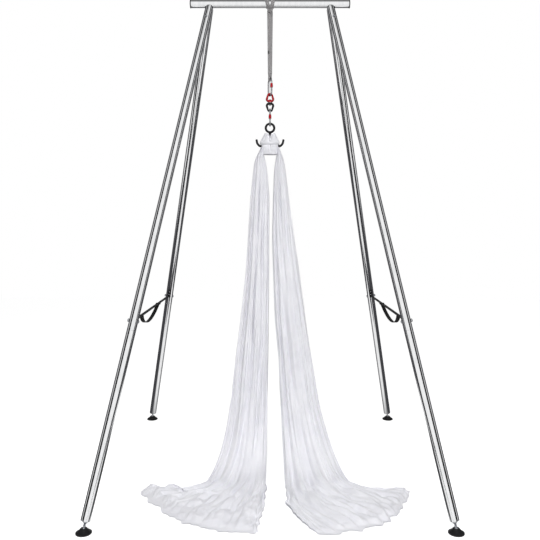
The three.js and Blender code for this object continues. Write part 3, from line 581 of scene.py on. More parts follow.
def metal(name, base, worn, roughness, roughest, grain, depth, metallic=1.0):
    """Metal whose gloss and tone vary a little, with a fine grain in its surface."""
    material, tree = new_material(name)
    place = add_node(tree, "ShaderNodeTexCoord").outputs["Object"]
    cloud = add_node(
        tree, "ShaderNodeTexNoise", {"Scale": metres(METAL_CLOUD_SIZE), "Detail": 3.0, "Roughness": 0.6},
        {"Vector": place},
    )
    fine = add_node(
        tree, "ShaderNodeTexNoise", {"Scale": metres(grain), "Detail": 2.0, "Roughness": 0.5},
        {"Vector": place},
    )
    tone = stops(
        add_node(tree, "ShaderNodeValToRGB", {}, {"Fac": cloud.outputs["Fac"]}),
        (0.35, base), (0.7, worn),
    )
    gloss = add_node(
        tree, "ShaderNodeMapRange",
        {"From Min": 0.3, "From Max": 0.7, "To Min": roughness, "To Max": roughest},
        {"Value": cloud.outputs["Fac"]},
    )
    bump = add_node(
        tree, "ShaderNodeBump", {"Strength": 0.3, "Distance": depth * MM}, {"Height": fine.outputs["Fac"]}
    )
    surface = add_node(
        tree, "ShaderNodeBsdfPrincipled", {"Metallic": metallic},
        {"Base Color": tone.outputs["Color"], "Roughness": gloss.outputs["Result"],
         "Normal": bump.outputs["Normal"]},
    )
    add_node(tree, "ShaderNodeOutputMaterial", {}, {"Surface": surface.outputs[0]})
    return material


def polished_tube():
    """Stainless tube, ground and then polished: long reflections, with faint slanting marks of the belt."""
    material, tree = new_material("polished stainless tube")
    place = add_node(tree, "ShaderNodeTexCoord").outputs["Object"]
    slant = add_node(
        tree, "ShaderNodeMapping", {"Rotation": BELT_MARK_SLANT, "Scale": BELT_MARK_STRETCH},
        {"Vector": place},
    )
    marks = add_node(
        tree, "ShaderNodeTexNoise", {"Scale": metres(BELT_MARK_SIZE), "Detail": 2.0, "Roughness": 0.5},
        {"Vector": slant.outputs["Vector"]},
    )
    cloud = add_node(
        tree, "ShaderNodeTexNoise", {"Scale": metres(TUBE_CLOUD_SIZE), "Detail": 3.0, "Roughness": 0.55},
        {"Vector": place},
    )
    tone = stops(
        add_node(tree, "ShaderNodeValToRGB", {}, {"Fac": marks.outputs["Fac"]}),
        (0.35, "#E9EAEB"), (0.65, "#F3F3F4"),
    )
    gloss = add_node(
        tree, "ShaderNodeMapRange", {"From Min": 0.3, "From Max": 0.7, "To Min": 0.06, "To Max": 0.12},
        {"Value": cloud.outputs["Fac"]},
    )
    bump = add_node(
        tree, "ShaderNodeBump", {"Strength": 0.02, "Distance": BELT_MARK_DEPTH * MM},
        {"Height": marks.outputs["Fac"]},
    )
    surface = add_node(
        tree, "ShaderNodeBsdfPrincipled", {"Metallic": 1.0},
        {"Base Color": tone.outputs["Color"], "Roughness": gloss.outputs["Result"],
         "Normal": bump.outputs["Normal"]},
    )
    add_node(tree, "ShaderNodeOutputMaterial", {}, {"Surface": surface.outputs[0]})
    return material


def moulded(name, base, scuffed, roughness, grain, depth):
    """Moulded rubber or plastic: an even dull surface with a fine grain and paler scuffs."""
    material, tree = new_material(name)
    place = add_node(tree, "ShaderNodeTexCoord").outputs["Object"]
    scuffs = add_node(
        tree, "ShaderNodeTexNoise", {"Scale": metres(SCUFF_SIZE), "Detail": 5.0, "Roughness": 0.7},
        {"Vector": place},
    )
    pits = add_node(tree, "ShaderNodeTexVoronoi", {"Scale": metres(grain)}, {"Vector": place})
    tone = stops(
        add_node(tree, "ShaderNodeValToRGB", {}, {"Fac": scuffs.outputs["Fac"]}),
        (0.45, base), (0.8, scuffed),
    )
    bump = add_node(
        tree, "ShaderNodeBump", {"Strength": 0.25, "Distance": depth * MM},
        {"Height": pits.outputs["Distance"]},
    )
    surface = add_node(
        tree, "ShaderNodeBsdfPrincipled", {"Roughness": roughness, "IOR": 1.5},
        {"Base Color": tone.outputs["Color"], "Normal": bump.outputs["Normal"]},
    )
    add_node(tree, "ShaderNodeOutputMaterial", {}, {"Surface": surface.outputs[0]})
    return material


def webbing(name, thread, groove, rib, pick, sheen):
    """Woven polyester webbing: ribs along it, picks across, and a soft sheen from the fibres. Its grooves
    carry painted shade: the weave's low places take the darker groove colour, over a random tone from a
    cloud.
    """
    material, tree = new_material(name)
    along = add_node(tree, "ShaderNodeTexCoord").outputs["UV"]
    ribs = add_node(
        tree, "ShaderNodeTexWave",
        {"wave_type": "BANDS", "bands_direction": "X", "Scale": metres(rib) / math.tau, "Distortion": 0.4},
        {"Vector": along},
    )
    picks = add_node(
        tree, "ShaderNodeTexWave",
        {"wave_type": "BANDS", "bands_direction": "DIAGONAL", "Scale": metres(pick) / math.tau,
         "Distortion": 0.6},
        {"Vector": along},
    )
    cloud = add_node(
        tree, "ShaderNodeTexNoise", {"Scale": metres(WEBBING_CLOUD_SIZE), "Detail": 4.0, "Roughness": 0.6},
        {"Vector": along},
    )
    weave = add_node(
        tree, "ShaderNodeMath", {"operation": "MULTIPLY"}, {0: ribs.outputs["Fac"], 1: picks.outputs["Fac"]}
    )
    mixed = add_node(
        tree, "ShaderNodeMath", {"operation": "MULTIPLY_ADD", 1: 0.35},
        {0: cloud.outputs["Fac"], 2: weave.outputs["Value"]},
    )
    # Painted shade: the weave's low places, its grooves, get the darker groove colour; the cloud adds random
    # tone.
    tone = stops(
        add_node(tree, "ShaderNodeValToRGB", {}, {"Fac": mixed.outputs["Value"]}),
        (0.1, groove), (0.75, thread),
    )
    bump = add_node(
        tree, "ShaderNodeBump", {"Strength": 0.5, "Distance": WEAVE_DEPTH * MM},
        {"Height": weave.outputs["Value"]},
    )
    surface = add_node(
        tree, "ShaderNodeBsdfPrincipled", {"Roughness": 0.85, "Sheen Weight": sheen, "Sheen Roughness": 0.5},
        {"Base Color": tone.outputs["Color"], "Normal": bump.outputs["Normal"]},
    )
    add_node(tree, "ShaderNodeOutputMaterial", {}, {"Surface": surface.outputs[0]})
    return material


def silk_cloth():
    """Knitted polyamide aerial silk: pale lavender white, with a soft sheen and a fine knit."""
    material, tree = new_material("knitted aerial silk")
    place = add_node(tree, "ShaderNodeTexCoord").outputs["UV"]
    knit = add_node(
        tree, "ShaderNodeTexWave",
        {"wave_type": "BANDS", "bands_direction": "X", "Scale": metres(KNIT_SIZE) / math.tau,
         "Distortion": 1.5, "Detail": 2.0},
        {"Vector": place},
    )
    cloud = add_node(
        tree, "ShaderNodeTexNoise", {"Scale": metres(SILK_CLOUD_SIZE), "Detail": 4.0, "Roughness": 0.6},
        {"Vector": place},
    )
    tone = stops(
        add_node(tree, "ShaderNodeValToRGB", {}, {"Fac": cloud.outputs["Fac"]}),
        (0.3, "#E9E9EF"), (0.7, "#F1F1F5"),
    )
    bump = add_node(
        tree, "ShaderNodeBump", {"Strength": 0.12, "Distance": KNIT_DEPTH * MM},
        {"Height": knit.outputs["Fac"]},
    )
    surface = add_node(
        tree, "ShaderNodeBsdfPrincipled", {"Roughness": 0.6, "Sheen Weight": 0.15, "Sheen Roughness": 0.4},
        {"Base Color": tone.outputs["Color"], "Normal": bump.outputs["Normal"]},
    )
    add_node(tree, "ShaderNodeOutputMaterial", {}, {"Surface": surface.outputs[0]})
    return material


# Each finish is the record's material slot and the material that it shows.
STEEL = ("polished_steel", polished_tube())
# Turned and drop-forged steel, polished: sharper and a little darker than the tubes.
BRIGHT_STEEL = ("polished_steel", metal(
    "polished forged steel", "#D2D3D6", "#E2E3E5", roughness=0.16, roughest=0.28, grain=1.2, depth=0.05
))
# Bolts, nuts and studs, zinc plated: a soft grey shine.
ZINC = ("zinc_steel", metal(
    "zinc plated steel", "#B9BCC2", "#D3D4D6", roughness=0.24, roughest=0.4, grain=0.8, depth=0.08
))
# Dyed aluminium keeps a metal's shine under its colour.
RED = ("red_anodised", metal(
    "red anodised aluminium", "#C21A26", "#D6303A", roughness=0.3, roughest=0.42, grain=0.6, depth=0.06,
    metallic=0.75
))
BLACK = ("black_anodised", metal(
    "black anodised aluminium", "#1B1B1E", "#2C2C30", roughness=0.3, roughest=0.45, grain=0.6, depth=0.06,
    metallic=0.6
))
# Rubber is nearly black and only shines along its edges.
RUBBER = ("black_rubber", moulded(
    "black moulded rubber", "#141415", "#242426", roughness=0.5, grain=0.8, depth=0.15
))
# Polyethylene caps have a slightly brighter skin than rubber.
CAP_PLASTIC = ("cap_plastic", moulded(
    "black polyethylene", "#121213", "#1F1F21", roughness=0.38, grain=0.6, depth=0.08
))
# The strap's ribs are 2 mm apart. Its picks are drawn at 3 mm, coarser than real, so that they show.
# Each webbing's second colour is painted shade in the weave's grooves.
BLACK_WEBBING = ("black_webbing", webbing(
    "black polyester webbing", "#18181A", "#070708", rib=2.0, pick=3.0, sheen=0.03
))
GREY_WEBBING = ("grey_webbing", webbing(
    "grey polyester webbing", "#B4B2B3", "#858384", rib=2.4, pick=3.2, sheen=0.15
))
SILK = ("silk", silk_cloth())


# Shapes are made of points in millimetres, faces, and one pair of lengths for each corner of a face, which
# say how far along and across the material that corner lies.

def loft(rings, joined=False, capped=True):
    """A skin through rings of equally many points."""
    count = len(rings[0])
    points = [point for ring in rings for point in ring]
    faces = []
    places = []
    round_ring = [0]
    for a, b in zip(rings[0], rings[0][1:] + rings[0][:1]):
        round_ring.append(round_ring[-1] + (b - a).length)
    run = [0]
    for a, b in zip(rings, rings[1:] + rings[:1]):
        run.append(run[-1] + (b[0] - a[0]).length)
    last = len(rings) if joined else len(rings) - 1
    for i in range(last):
        below = (i + 1) % len(rings)
        for j in range(count):
            k = (j + 1) % count
            faces.append((i * count + j, i * count + k, below * count + k, below * count + j))
            places.append([
                (round_ring[j], run[i]), (round_ring[j + 1], run[i]),
                (round_ring[j + 1], run[i + 1]), (round_ring[j], run[i + 1]),
            ])
    if capped and not joined:
        for row in (0, len(rings) - 1):
            face = tuple(row * count + j for j in range(count))
            faces.append(face)
            places.append([(points[at].x, points[at].y) for at in face])
    return points, faces, places


def open_sheet(rows):
    """One layer of cloth through rows of equally many points."""
    count = len(rows[0])
    points = [point for row in rows for point in row]
    faces = []
    places = []
    run = [0] * count
    cross = []
    for row in rows:
        line = [0]
        for a, b in zip(row, row[1:]):
            line.append(line[-1] + (b - a).length)
        cross.append(line)
    down = [[0] * count]
    for above, row in zip(rows, rows[1:]):
        run = [length + (b - a).length for length, a, b in zip(run, above, row)]
        down.append(run)
    for i in range(len(rows) - 1):
        for j in range(count - 1):
            corners = [(i, j), (i, j + 1), (i + 1, j + 1), (i + 1, j)]
            faces.append(tuple(row * count + column for row, column in corners))
            places.append([(cross[row][column], down[row][column]) for row, column in corners])
    return points, faces, places


def merged(*shapes):
    points, faces, places = [], [], []
    for shape in shapes:
        start = len(points)
        points.extend(shape[0])
        faces.extend(tuple(at + start for at in face) for face in shape[1])
        places.extend(shape[2])
    return points, faces, places


def moved(shape, matrix):
    return [matrix @ point for point in shape[0]], shape[1], shape[2]


def shifted(shape, x=0, y=0, z=0):
    return moved(shape, Matrix.Translation((x, y, z)))


def turned_about(shape, degrees, axis):
    return moved(shape, Matrix.Rotation(math.radians(degrees), 4, axis))


def circle(steps):
    """Cosine and sine at even steps round a circle."""
    return [(math.cos(math.tau * k / steps), math.sin(math.tau * k / steps)) for k in range(steps)]


def quarter(steps=ARC_STEPS):
    """Cosine and sine at even steps of a quarter turn, with both its ends."""
    angles = [math.pi / 2 * k / steps for k in range(steps + 1)]
    return [(math.cos(angle), math.sin(angle)) for angle in angles]


def level_ring(radius, height, sides=TUBE_SIDES):
    return [Vector((radius * x, radius * y, height)) for x, y in circle(sides)]


def lathe(outline, sides=ROD_SIDES):
    """A turned piece from radius and height pairs. It is a closed loop if its first pair comes again."""
    joined = outline[0] == outline[-1]
    pairs = outline[:-1] if joined else outline
    return loft([level_ring(radius, height, sides) for radius, height in pairs], joined)


def pipe(outer, inner, low, high, edge=PIPE_EDGE, sides=ROD_SIDES):
    """A tube along Z whose ends have broken edges."""
    return lathe([
        (inner + edge, low), (outer - edge, low), (outer, low + edge), (outer, high - edge),
        (outer - edge, high), (inner + edge, high), (inner, high - edge), (inner, low + edge),
        (inner + edge, low),
    ], sides)


def rounded_path(points, joined, steps=CORNER_STEPS):
    """A path in the XZ plane whose corners are rounded to the radius that each one names."""
    path = []
    count = len(points)
    for i, (x, z, radius) in enumerate(points):
        at = Vector((x, z))
        if not joined and i in (0, count - 1):
            path.append(Vector((x, 0, z)))
            continue
        back = (Vector(points[i - 1][:2]) - at).normalized()
        forth = (Vector(points[(i + 1) % count][:2]) - at).normalized()
        half = math.acos(max(-1, min(1, back.dot(forth)))) / 2
        centre = at + (back + forth).normalized() * radius / math.sin(half)
        start = at + back * radius / math.tan(half) - centre
        sweep = math.copysign(math.pi - 2 * half, start.y * back.x - start.x * back.y)
        for k in range(steps + 1):
            spot = centre + Matrix.Rotation(sweep * k / steps, 2) @ start
            path.append(Vector((spot.x, 0, spot.y)))
    return path


def wire(path, radius, joined=False, ends=0, swell=lambda point: 1):
    """Round wire along a path in the XZ plane. Its ends are rounded off by the length that ends gives, and
    swell gives how many times its radius it has at a point."""
    count = len(path)
    flat = Vector((0, 1, 0))
    stations = []
    for i, point in enumerate(path):
        before = path[i - 1] if joined or i > 0 else point
        after = path[(i + 1) % count] if joined or i < count - 1 else point
        stations.append((point, (after - before).normalized(), radius * swell(point)))
    if ends:
        first, last = stations[0], stations[-1]
        for shrink, growth in quarter()[1:-1]:
            stations.insert(0, (first[0] - first[1] * ends * growth, first[1], first[2] * shrink))
            stations.append((last[0] + last[1] * ends * growth, last[1], last[2] * shrink))
    rings = []
    for point, along, size in stations:
        aside = along.cross(flat)
        rings.append([point + aside * size * x + flat * size * y for x, y in circle(WIRE_SIDES)])
    return loft(rings, joined)


def circle_path(radius, height, steps):
    return [Vector((radius * x, 0, height + radius * z)) for x, z in circle(steps)]


def through(knots, steps):
    """A smooth line through its knots."""
    lead = knots[0] * 2 - knots[1]
    tail = knots[-1] * 2 - knots[-2]
    whole = [lead] + knots + [tail]
    spans = len(knots) - 1
    line = []
    for k in range(steps + 1):
        place = spans * k / steps
        i = min(int(place), spans - 1)
        t = place - i
        a, b, c, d = whole[i:i + 4]
        line.append((b * 2 + (c - a) * t + (a * 2 - b * 5 + c * 4 - d) * t * t
                     + (b * 3 - a - c * 3 + d) * t ** 3) / 2)
    return line


def hex_nut(radius, bore, low, high):
    """A hexagon nut with chamfered corners, round a plain bore."""
    half_face = math.pi / HEX_SIDES
    inradius = radius * math.cos(half_face)

    def ring(limit, height):
        points = []
        sides = HEX_SIDES * NUT_FACE_STEPS
        for j, (x, y) in enumerate(circle(sides)):
            local = (math.tau * j / sides + half_face) % (2 * half_face) - half_face
            reach = min(inradius / math.cos(half_face - abs(local)), limit)
            points.append(Vector((reach * x, reach * y, height)))
        return points

    mouth = bore + NUT_CHAMFER / 2
    return loft([
        ring(mouth, low), ring(inradius, low), ring(radius, low + NUT_CHAMFER),
        ring(radius, high - NUT_CHAMFER), ring(inradius, high), ring(mouth, high),
        ring(bore, high - NUT_CHAMFER / 2), ring(bore, low + NUT_CHAMFER / 2),
    ], joined=True)


def ribbon(stations, width, thickness):
    """Flat webbing with rounded edges through stations. A station has a middle point, a direction across, a
    direction out of its face and a share of the width."""
    half = thickness / 2
    rings = []
    for middle, across, out, share in stations:
        reach = width * share / 2 - half
        ring = []
        for sign in (1, -1):
            for k in range(RIBBON_EDGE_STEPS + 1):
                angle = math.pi * k / RIBBON_EDGE_STEPS
                side = sign * (reach + half * math.sin(angle))
                lift = sign * half * math.cos(angle)
                ring.append(middle + across * side + out * lift)
        rings.append(ring)
    return loft(rings)


def make(name, shape, body, finish, *nodes, cloth=False):
    """Turns a shape into a piece that rides on a body and stands for the named nodes. Cloth shades as one
    surface and keeps the facing that its rows give it."""
    points, faces, places = shape
    slot, material = finish
    mesh = bpy.data.meshes.new(name)
    mesh.from_pydata([tuple(point * MM) for point in points], [], faces)
    layer = mesh.uv_layers.new(name="cloth")
    corners = [place for face in places for place in face]
    for corner, (u, v) in enumerate(corners):
        layer.data[corner].uv = (u * MM, v * MM)
    if not cloth:
        work = bmesh.new()
        work.from_mesh(mesh)
        bmesh.ops.recalc_face_normals(work, faces=work.faces)
        work.to_mesh(mesh)
        work.free()
    mesh.shade_smooth()
    mesh.set_sharp_from_angle(angle=math.pi if cloth else SOFT_EDGE)
    mesh.materials.append(material)
    piece = bpy.data.objects.new(name, mesh)
    bpy.context.scene.collection.objects.link(piece)
    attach(piece, body)
    if nodes:
        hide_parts(*nodes)
    return piece


def upright(height, degrees=0, axis="Z"):
    """A place on the rig's middle line, turned about an axis."""
    return Matrix.Translation((0, 0, height)) @ Matrix.Rotation(math.radians(degrees), 4, axis)


def leg_matrix(x, y):
    """Z runs down the leg from the bar's axis, X across it, away from the middle."""
    top = Vector((x * LEG_TOP_SPREAD, 0, BAR_HEIGHT))
    foot = Vector((x * FOOT_SPREAD_X, y * FOOT_SPREAD_Y, PAD_PIVOT))
    along = (foot - top).normalized()
    across = Vector((x, 0, 0))
    across = (across - along * across.dot(along)).normalized()
    matrix = Matrix((across, along.cross(across), along)).transposed().to_4x4()
    matrix.translation = top
    return matrix


def coped_ring(matrix, y, radius, least):
    """Where a leg tube's wall meets the bar and the leg beside it."""
    along = matrix.col[2].xyz
    ring = []
    for flat in level_ring(radius, 0):
        wall = matrix @ flat
        height = wall.z - BAR_HEIGHT
        drop = max(least, (GAP - y * wall.y) / (y * along.y))
        a = along.y ** 2 + along.z ** 2
        b = 2 * (wall.y * along.y + height * along.z)
        c = wall.y ** 2 + height ** 2 - (TUBE_RADIUS + GAP) ** 2
        inside = b * b - 4 * a * c
        if inside > 0:
            drop = max(drop, (-b + math.sqrt(inside)) / (2 * a))
        ring.append(flat + Vector((0, 0, drop)))
    return ring


def make_bar():
    half = BAR_LENGTH / 2
    tube = turned_about(pipe(TUBE_RADIUS, BORE_RADIUS, -half, half, TUBE_EDGE, TUBE_SIDES), 90, "Y")
    shapes = [shifted(tube, z=BAR_HEIGHT)]
    inside = BORE_RADIUS - GAP
    for name, x, y in CORNERS:
        matrix = leg_matrix(x, y)
        spigot = loft([coped_ring(matrix, y, inside, SPIGOT_START), level_ring(inside, SCREW_DROP)])
        shapes.append(moved(spigot, matrix))
    make("bar_tube", merged(*shapes), "frame", STEEL, "top_bar")

    rim = TUBE_RADIUS + CAP_RIM
    outline = [
        (CAP_AXIS, -CAP_PLUG_LENGTH), (inside - CAP_RIM, -CAP_PLUG_LENGTH),
        (inside, CAP_RIM - CAP_PLUG_LENGTH), (inside, GAP), (rim, GAP), (rim, CAP_THICKNESS - 2 * CAP_RIM),
    ]
    for x, y in quarter()[1:]:
        outline.append((rim - 2 * CAP_RIM * (1 - x), CAP_THICKNESS - 2 * CAP_RIM * (1 - y)))
    outline.append((CAP_AXIS, CAP_THICKNESS))
    for name, side in (("left", -1), ("right", 1)):
        cap = turned_about(lathe(outline, TUBE_SIDES), side * 90, "Y")
        cap = shifted(cap, x=side * half, z=BAR_HEIGHT)
        make("end_cap_" + name, cap, "frame", CAP_PLASTIC, "bar_end_cap_" + name)


def make_leg_tubes(name, y, matrix):
    upper = loft([
        coped_ring(matrix, y, BORE_RADIUS, LEG_START), coped_ring(matrix, y, TUBE_RADIUS, LEG_START),
        level_ring(TUBE_RADIUS, UPPER_LEG_LENGTH - TUBE_EDGE),
        level_ring(TUBE_RADIUS - TUBE_EDGE, UPPER_LEG_LENGTH), level_ring(BORE_RADIUS, UPPER_LEG_LENGTH),
    ], joined=True)
    make("leg_tube_upper_" + name, moved(upper, matrix), "frame", STEEL, "upper_leg_" + name)
    lower = merged(
        pipe(TUBE_RADIUS, BORE_RADIUS, UPPER_LEG_LENGTH + GAP, LEG_END, TUBE_EDGE, TUBE_SIDES),
        pipe(BORE_RADIUS, STUD_RADIUS + GAP, PLUG_FACE - PLUG_LENGTH, PLUG_FACE),
    )
    make("leg_tube_lower_" + name, moved(lower, matrix), "frame", STEEL, "lower_leg_" + name)


def make_splice_bolt(name, matrix):
    tip = BOLT_SEAT + NUT_THICKNESS + BOLT_TIP
    outline = [(AXIS, -BOLT_SEAT - BOLT_HEAD_HEIGHT)]
    for dome, reach in quarter()[1:]:
        height = BOLT_HEAD_HEIGHT * lerp(BOLT_RIM_SHARE, 1, dome)
        outline.append((BOLT_HEAD_RADIUS * reach, -BOLT_SEAT - height))
    outline += [
        (BOLT_HEAD_RADIUS, -BOLT_SEAT), (BOLT_RADIUS, -BOLT_SEAT), (BOLT_RADIUS, tip - TUBE_EDGE),
        (BOLT_RADIUS - TUBE_EDGE, tip), (AXIS, tip),
    ]
    place = matrix @ upright(BOLT_DROP, 90, "Y")
    make("splice_bolt_" + name, moved(lathe(outline), place), "frame", ZINC, "leg_bolt_" + name)
    nut = hex_nut(BOLT_HEAD_RADIUS, BOLT_RADIUS + GAP, BOLT_SEAT, BOLT_SEAT + NUT_THICKNESS)
    make("splice_nut_" + name, moved(nut, place), "frame", ZINC, "leg_nut_" + name)


def make_spigot_screw(name, facing, matrix):
    start = BORE_RADIUS / 2
    top = BOLT_SEAT + SCREW_HEAD_HEIGHT
    screw = lathe([
        (AXIS, start), (SCREW_RADIUS - TUBE_EDGE, start), (SCREW_RADIUS, start + TUBE_EDGE),
        (SCREW_RADIUS, BOLT_SEAT), (SCREW_HEAD_RADIUS, BOLT_SEAT),
        (SCREW_HEAD_RADIUS, BOLT_SEAT + SCREW_HEAD_HEIGHT / 3),
        (SCREW_HEAD_RADIUS - TUBE_EDGE, top - TUBE_EDGE), (SCREW_HEAD_RADIUS - 2 * TUBE_EDGE, top),
        (SCREW_SOCKET_RADIUS, top),
        (SCREW_SOCKET_RADIUS, top - SCREW_SOCKET_DEPTH), (AXIS, top - SCREW_SOCKET_DEPTH),
    ])
    place = matrix @ upright(SCREW_DROP, facing * 90, "X")
    make("spigot_screw_" + name, moved(screw, place), "frame", ZINC, "leg_screw_" + name)


def make_lock_nut(name, matrix):
    """The nut is rounded, so that the pad clears it when it tilts with its stud screwed in."""
    waist = PLUG_FACE + GAP - LOCK_NUT_HALF * math.sin(math.radians(LOCK_NUT_FIRST_DEGREES))
    outline = []
    for k in range(LOCK_NUT_STEPS + 1):
        angle = math.radians(lerp(LOCK_NUT_FIRST_DEGREES, LOCK_NUT_LAST_DEGREES, k / LOCK_NUT_STEPS))
        outline.append((LOCK_NUT_RADIUS * math.cos(angle), waist + LOCK_NUT_HALF * math.sin(angle)))
    bore = STUD_RADIUS + GAP
    outline += [(bore, outline[-1][1]), (bore, outline[0][1]), outline[0]]
    make("foot_lock_nut_" + name, moved(lathe(outline), matrix), "frame", ZINC, "lock_nut_" + name)


def make_foot_stud(name, matrix):
    root = STUD_RADIUS - THREAD_DEPTH
    neck = math.sqrt(BALL_RADIUS ** 2 - STUD_RADIUS ** 2)
    outline = [(AXIS, -STUD_LENGTH), (STUD_RADIUS - STUD_CHAMFER, -STUD_LENGTH)]
    height = STUD_CHAMFER - STUD_LENGTH
    while height < -neck - 2 * THREAD_PITCH:
        outline += [(STUD_RADIUS, height), (root, height + THREAD_PITCH / 2)]
        height += THREAD_PITCH
    outline += [(root, height), (root, -neck - THREAD_DEPTH)]
    start = math.atan2(root, -neck)
    for k in range(2 * ARC_STEPS, 0, -1):
        angle = start * k / (2 * ARC_STEPS)
        outline.append((BALL_RADIUS * math.sin(angle), BALL_RADIUS * math.cos(angle)))
    stud = moved(lathe(outline, THREAD_SIDES), matrix @ upright(LEG_LENGTH))
    make("foot_screw_stud_" + name, stud, "stud_" + name, ZINC, "foot_stud_" + name)


def make_foot_pad(name, x, y):
    socket = BALL_RADIUS + GAP
    outline = [(PAD_AXIS, 0), (PAD_RADIUS - PAD_CHAMFER, 0)]
    for across, up in quarter()[1:]:
        outline.append((PAD_RADIUS - PAD_CHAMFER * (1 - up), PAD_CHAMFER * (1 - across)))
    outline.append((PAD_RADIUS, PAD_EDGE))
    for k in range(1, 2 * ARC_STEPS):
        share = k / (2 * ARC_STEPS)
        dish = PAD_DISHING * math.sin(math.pi * share)
        outline.append((lerp(PAD_RADIUS, PAD_TOP_RADIUS, share) - dish / 2,
                        lerp(PAD_EDGE, PAD_HEIGHT, share) - dish))
    outline += [
        (PAD_TOP_RADIUS, PAD_HEIGHT), (socket + SOCKET_LIP, PAD_HEIGHT), (socket, PAD_HEIGHT - SOCKET_LIP),
    ]
    for across, down in quarter(2 * ARC_STEPS)[1:]:
        outline.append((max(PAD_AXIS, socket * across), PAD_PIVOT - socket * down))
    pad = shifted(lathe(outline, PAD_SIDES), x * FOOT_SPREAD_X, y * FOOT_SPREAD_Y)
    make("foot_rubber_" + name, pad, "pad_" + name, RUBBER, "foot_pad_" + name)


def make_leg(name, x, y):
    matrix = leg_matrix(x, y)
    make_leg_tubes(name, y, matrix)
    make_splice_bolt(name, matrix)
    make_spigot_screw(name, x * y, matrix)
    make_lock_nut(name, matrix)
    make_foot_stud(name, matrix)
    make_foot_pad(name, x, y)


def slack_webbing(x, height):
    """The strap's slack run, from its front down in a skewed sag and up to the slider."""
    end = SLACK_REAR - SLIDER_LENGTH / 2 - GAP
    line = []
    for k in range(STRAP_STEPS + 1):
        bend = (k / STRAP_STEPS) ** SLACK_SKEW
        sag = SLACK_SAG * 4 * bend * (1 - bend) + STRAP_THICKNESS - SLACK_OVERLAP
        line.append(Vector((x, lerp(SLACK_FRONT, end, k / STRAP_STEPS), height - sag)))
    line.append(Vector((x, SLACK_REAR + SLIDER_LENGTH, height - STRAP_THICKNESS + SLACK_OVERLAP)))
    across = Vector((1, 0, 0))
    stations = []
    for k, middle in enumerate(line):
        along = (line[min(k + 1, len(line) - 1)] - line[max(k - 1, 0)]).normalized()
        stations.append((middle, across, across.cross(along), 1))
    return ribbon(stations, STRAP_WIDTH, STRAP_THICKNESS)


def strap_tab(facing):
    """The strap's end, curved round a leg's face."""
    inner = TUBE_RADIUS + GAP
    outer = inner + STRAP_THICKNESS
    spread = math.asin(STRAP_WIDTH / 2 / (inner + STRAP_THICKNESS / 2))
    rings = []
    for k in range(TAB_STEPS + 1):
        drop = lerp(STRAP_DROP + STRAP_THICKNESS, STRAP_DROP - STRAP_TAB_LENGTH, k / TAB_STEPS)
        outside = []
        inside = []
        for j in range(ARC_STEPS + 1):
            angle = lerp(-spread, spread, j / ARC_STEPS)
            radius = outer - STRAP_THICKNESS / 2 if j in (0, ARC_STEPS) else outer
            outside.append(Vector((math.sin(angle) * radius, facing * math.cos(angle) * radius, drop)))
            inside.append(Vector((math.sin(angle) * inner, facing * math.cos(angle) * inner, drop)))
        rings.append(outside + inside[::-1])
    return loft(rings)


def tab_rivets(facing):
    rivet = lathe([
        (AXIS, 0), (RIVET_RADIUS, 0), (RIVET_RADIUS, RIVET_EDGE),
        (RIVET_RADIUS * RIVET_CROWN_SHARE, RIVET_SHOULDER), (AXIS, RIVET_HEIGHT),
    ])
    rivet = turned_about(rivet, -facing * 90, "X")
    face = facing * (TUBE_RADIUS + GAP + STRAP_THICKNESS)
    return merged(*[
        shifted(rivet, y=face, z=STRAP_DROP - STRAP_TAB_LENGTH * share) for share in RIVET_TAB_SHARES
    ])


def strap_slider():
    """A flat bent loop round both layers of the strap."""
    post = SLIDER_WALL / 2
    wide = STRAP_WIDTH / 2 + GAP + post
    tall = STRAP_THICKNESS + GAP + post
    path = rounded_path([
        (wide, tall, SLIDER_WALL), (-wide, tall, SLIDER_WALL),
        (-wide, -tall, SLIDER_WALL), (wide, -tall, SLIDER_WALL),
    ], True, ARC_STEPS)
    flat = Vector((0, 1, 0))
    bevel, end = SLIDER_BEVEL_SHARE, SLIDER_END_SHARE
    section = [
        (bevel, -1), (1, -end), (1, end), (bevel, 1), (-bevel, 1), (-1, end), (-1, -end), (-bevel, -1),
    ]
    rings = []
    for i, point in enumerate(path):
        aside = (path[(i + 1) % len(path)] - path[i - 1]).normalized().cross(flat)
        rings.append([point + aside * a * post + flat * b * SLIDER_LENGTH / 2 for a, b in section])
    return loft(rings, joined=True)


def make_strap(name, side):
    """A flat run between the legs, a tab up each leg's face, and a slack run that ends at a slider."""
    share = STRAP_DROP / LEG_LENGTH
    x = side * lerp(LEG_TOP_SPREAD, FOOT_SPREAD_X, share)
    height = BAR_HEIGHT - (BAR_HEIGHT - PAD_PIVOT) * share
    lean = math.atan2(FOOT_SPREAD_Y, BAR_HEIGHT - PAD_PIVOT)
    reach = FOOT_SPREAD_Y * share - (TUBE_RADIUS + GAP + STRAP_THICKNESS) / math.cos(lean)
    across = Vector((1, 0, 0))
    up = Vector((0, 0, 1))
    taut = [
        (Vector((x, lerp(-reach, reach, k / STRAP_STEPS), height)), across, up, 1)
        for k in range(STRAP_STEPS + 1)
    ]
    webs = [ribbon(taut, STRAP_WIDTH, STRAP_THICKNESS), slack_webbing(x, height)]
    rivets = []
    for y in (-1, 1):
        matrix = leg_matrix(side, y)
        webs.append(moved(strap_tab(side * y), matrix))
        rivets.append(moved(tab_rivets(side * y), matrix))
    make("side_strap_" + name, merged(*webs), "frame", BLACK_WEBBING, "strap_" + name)
    make("strap_rivets_" + name, merged(*rivets), "frame", ZINC)
    slider = shifted(strap_slider(), x, SLACK_REAR, height - STRAP_THICKNESS / 2)
    make("strap_buckle_" + name, slider, "frame", BLACK, "strap_slider_" + name)


def sling_curl(x):
    """How far the curled webbing lies behind its ridge."""
    away = x - SLING_RIDGE
    return SLING_RIGHT_CURL * away if away > 0 else -SLING_LEFT_CURL * away


def heading(angle):
    """A level direction, and the one a quarter turn on from it."""
    return Vector((math.cos(angle), math.sin(angle), 0)), Vector((-math.sin(angle), math.cos(angle), 0))


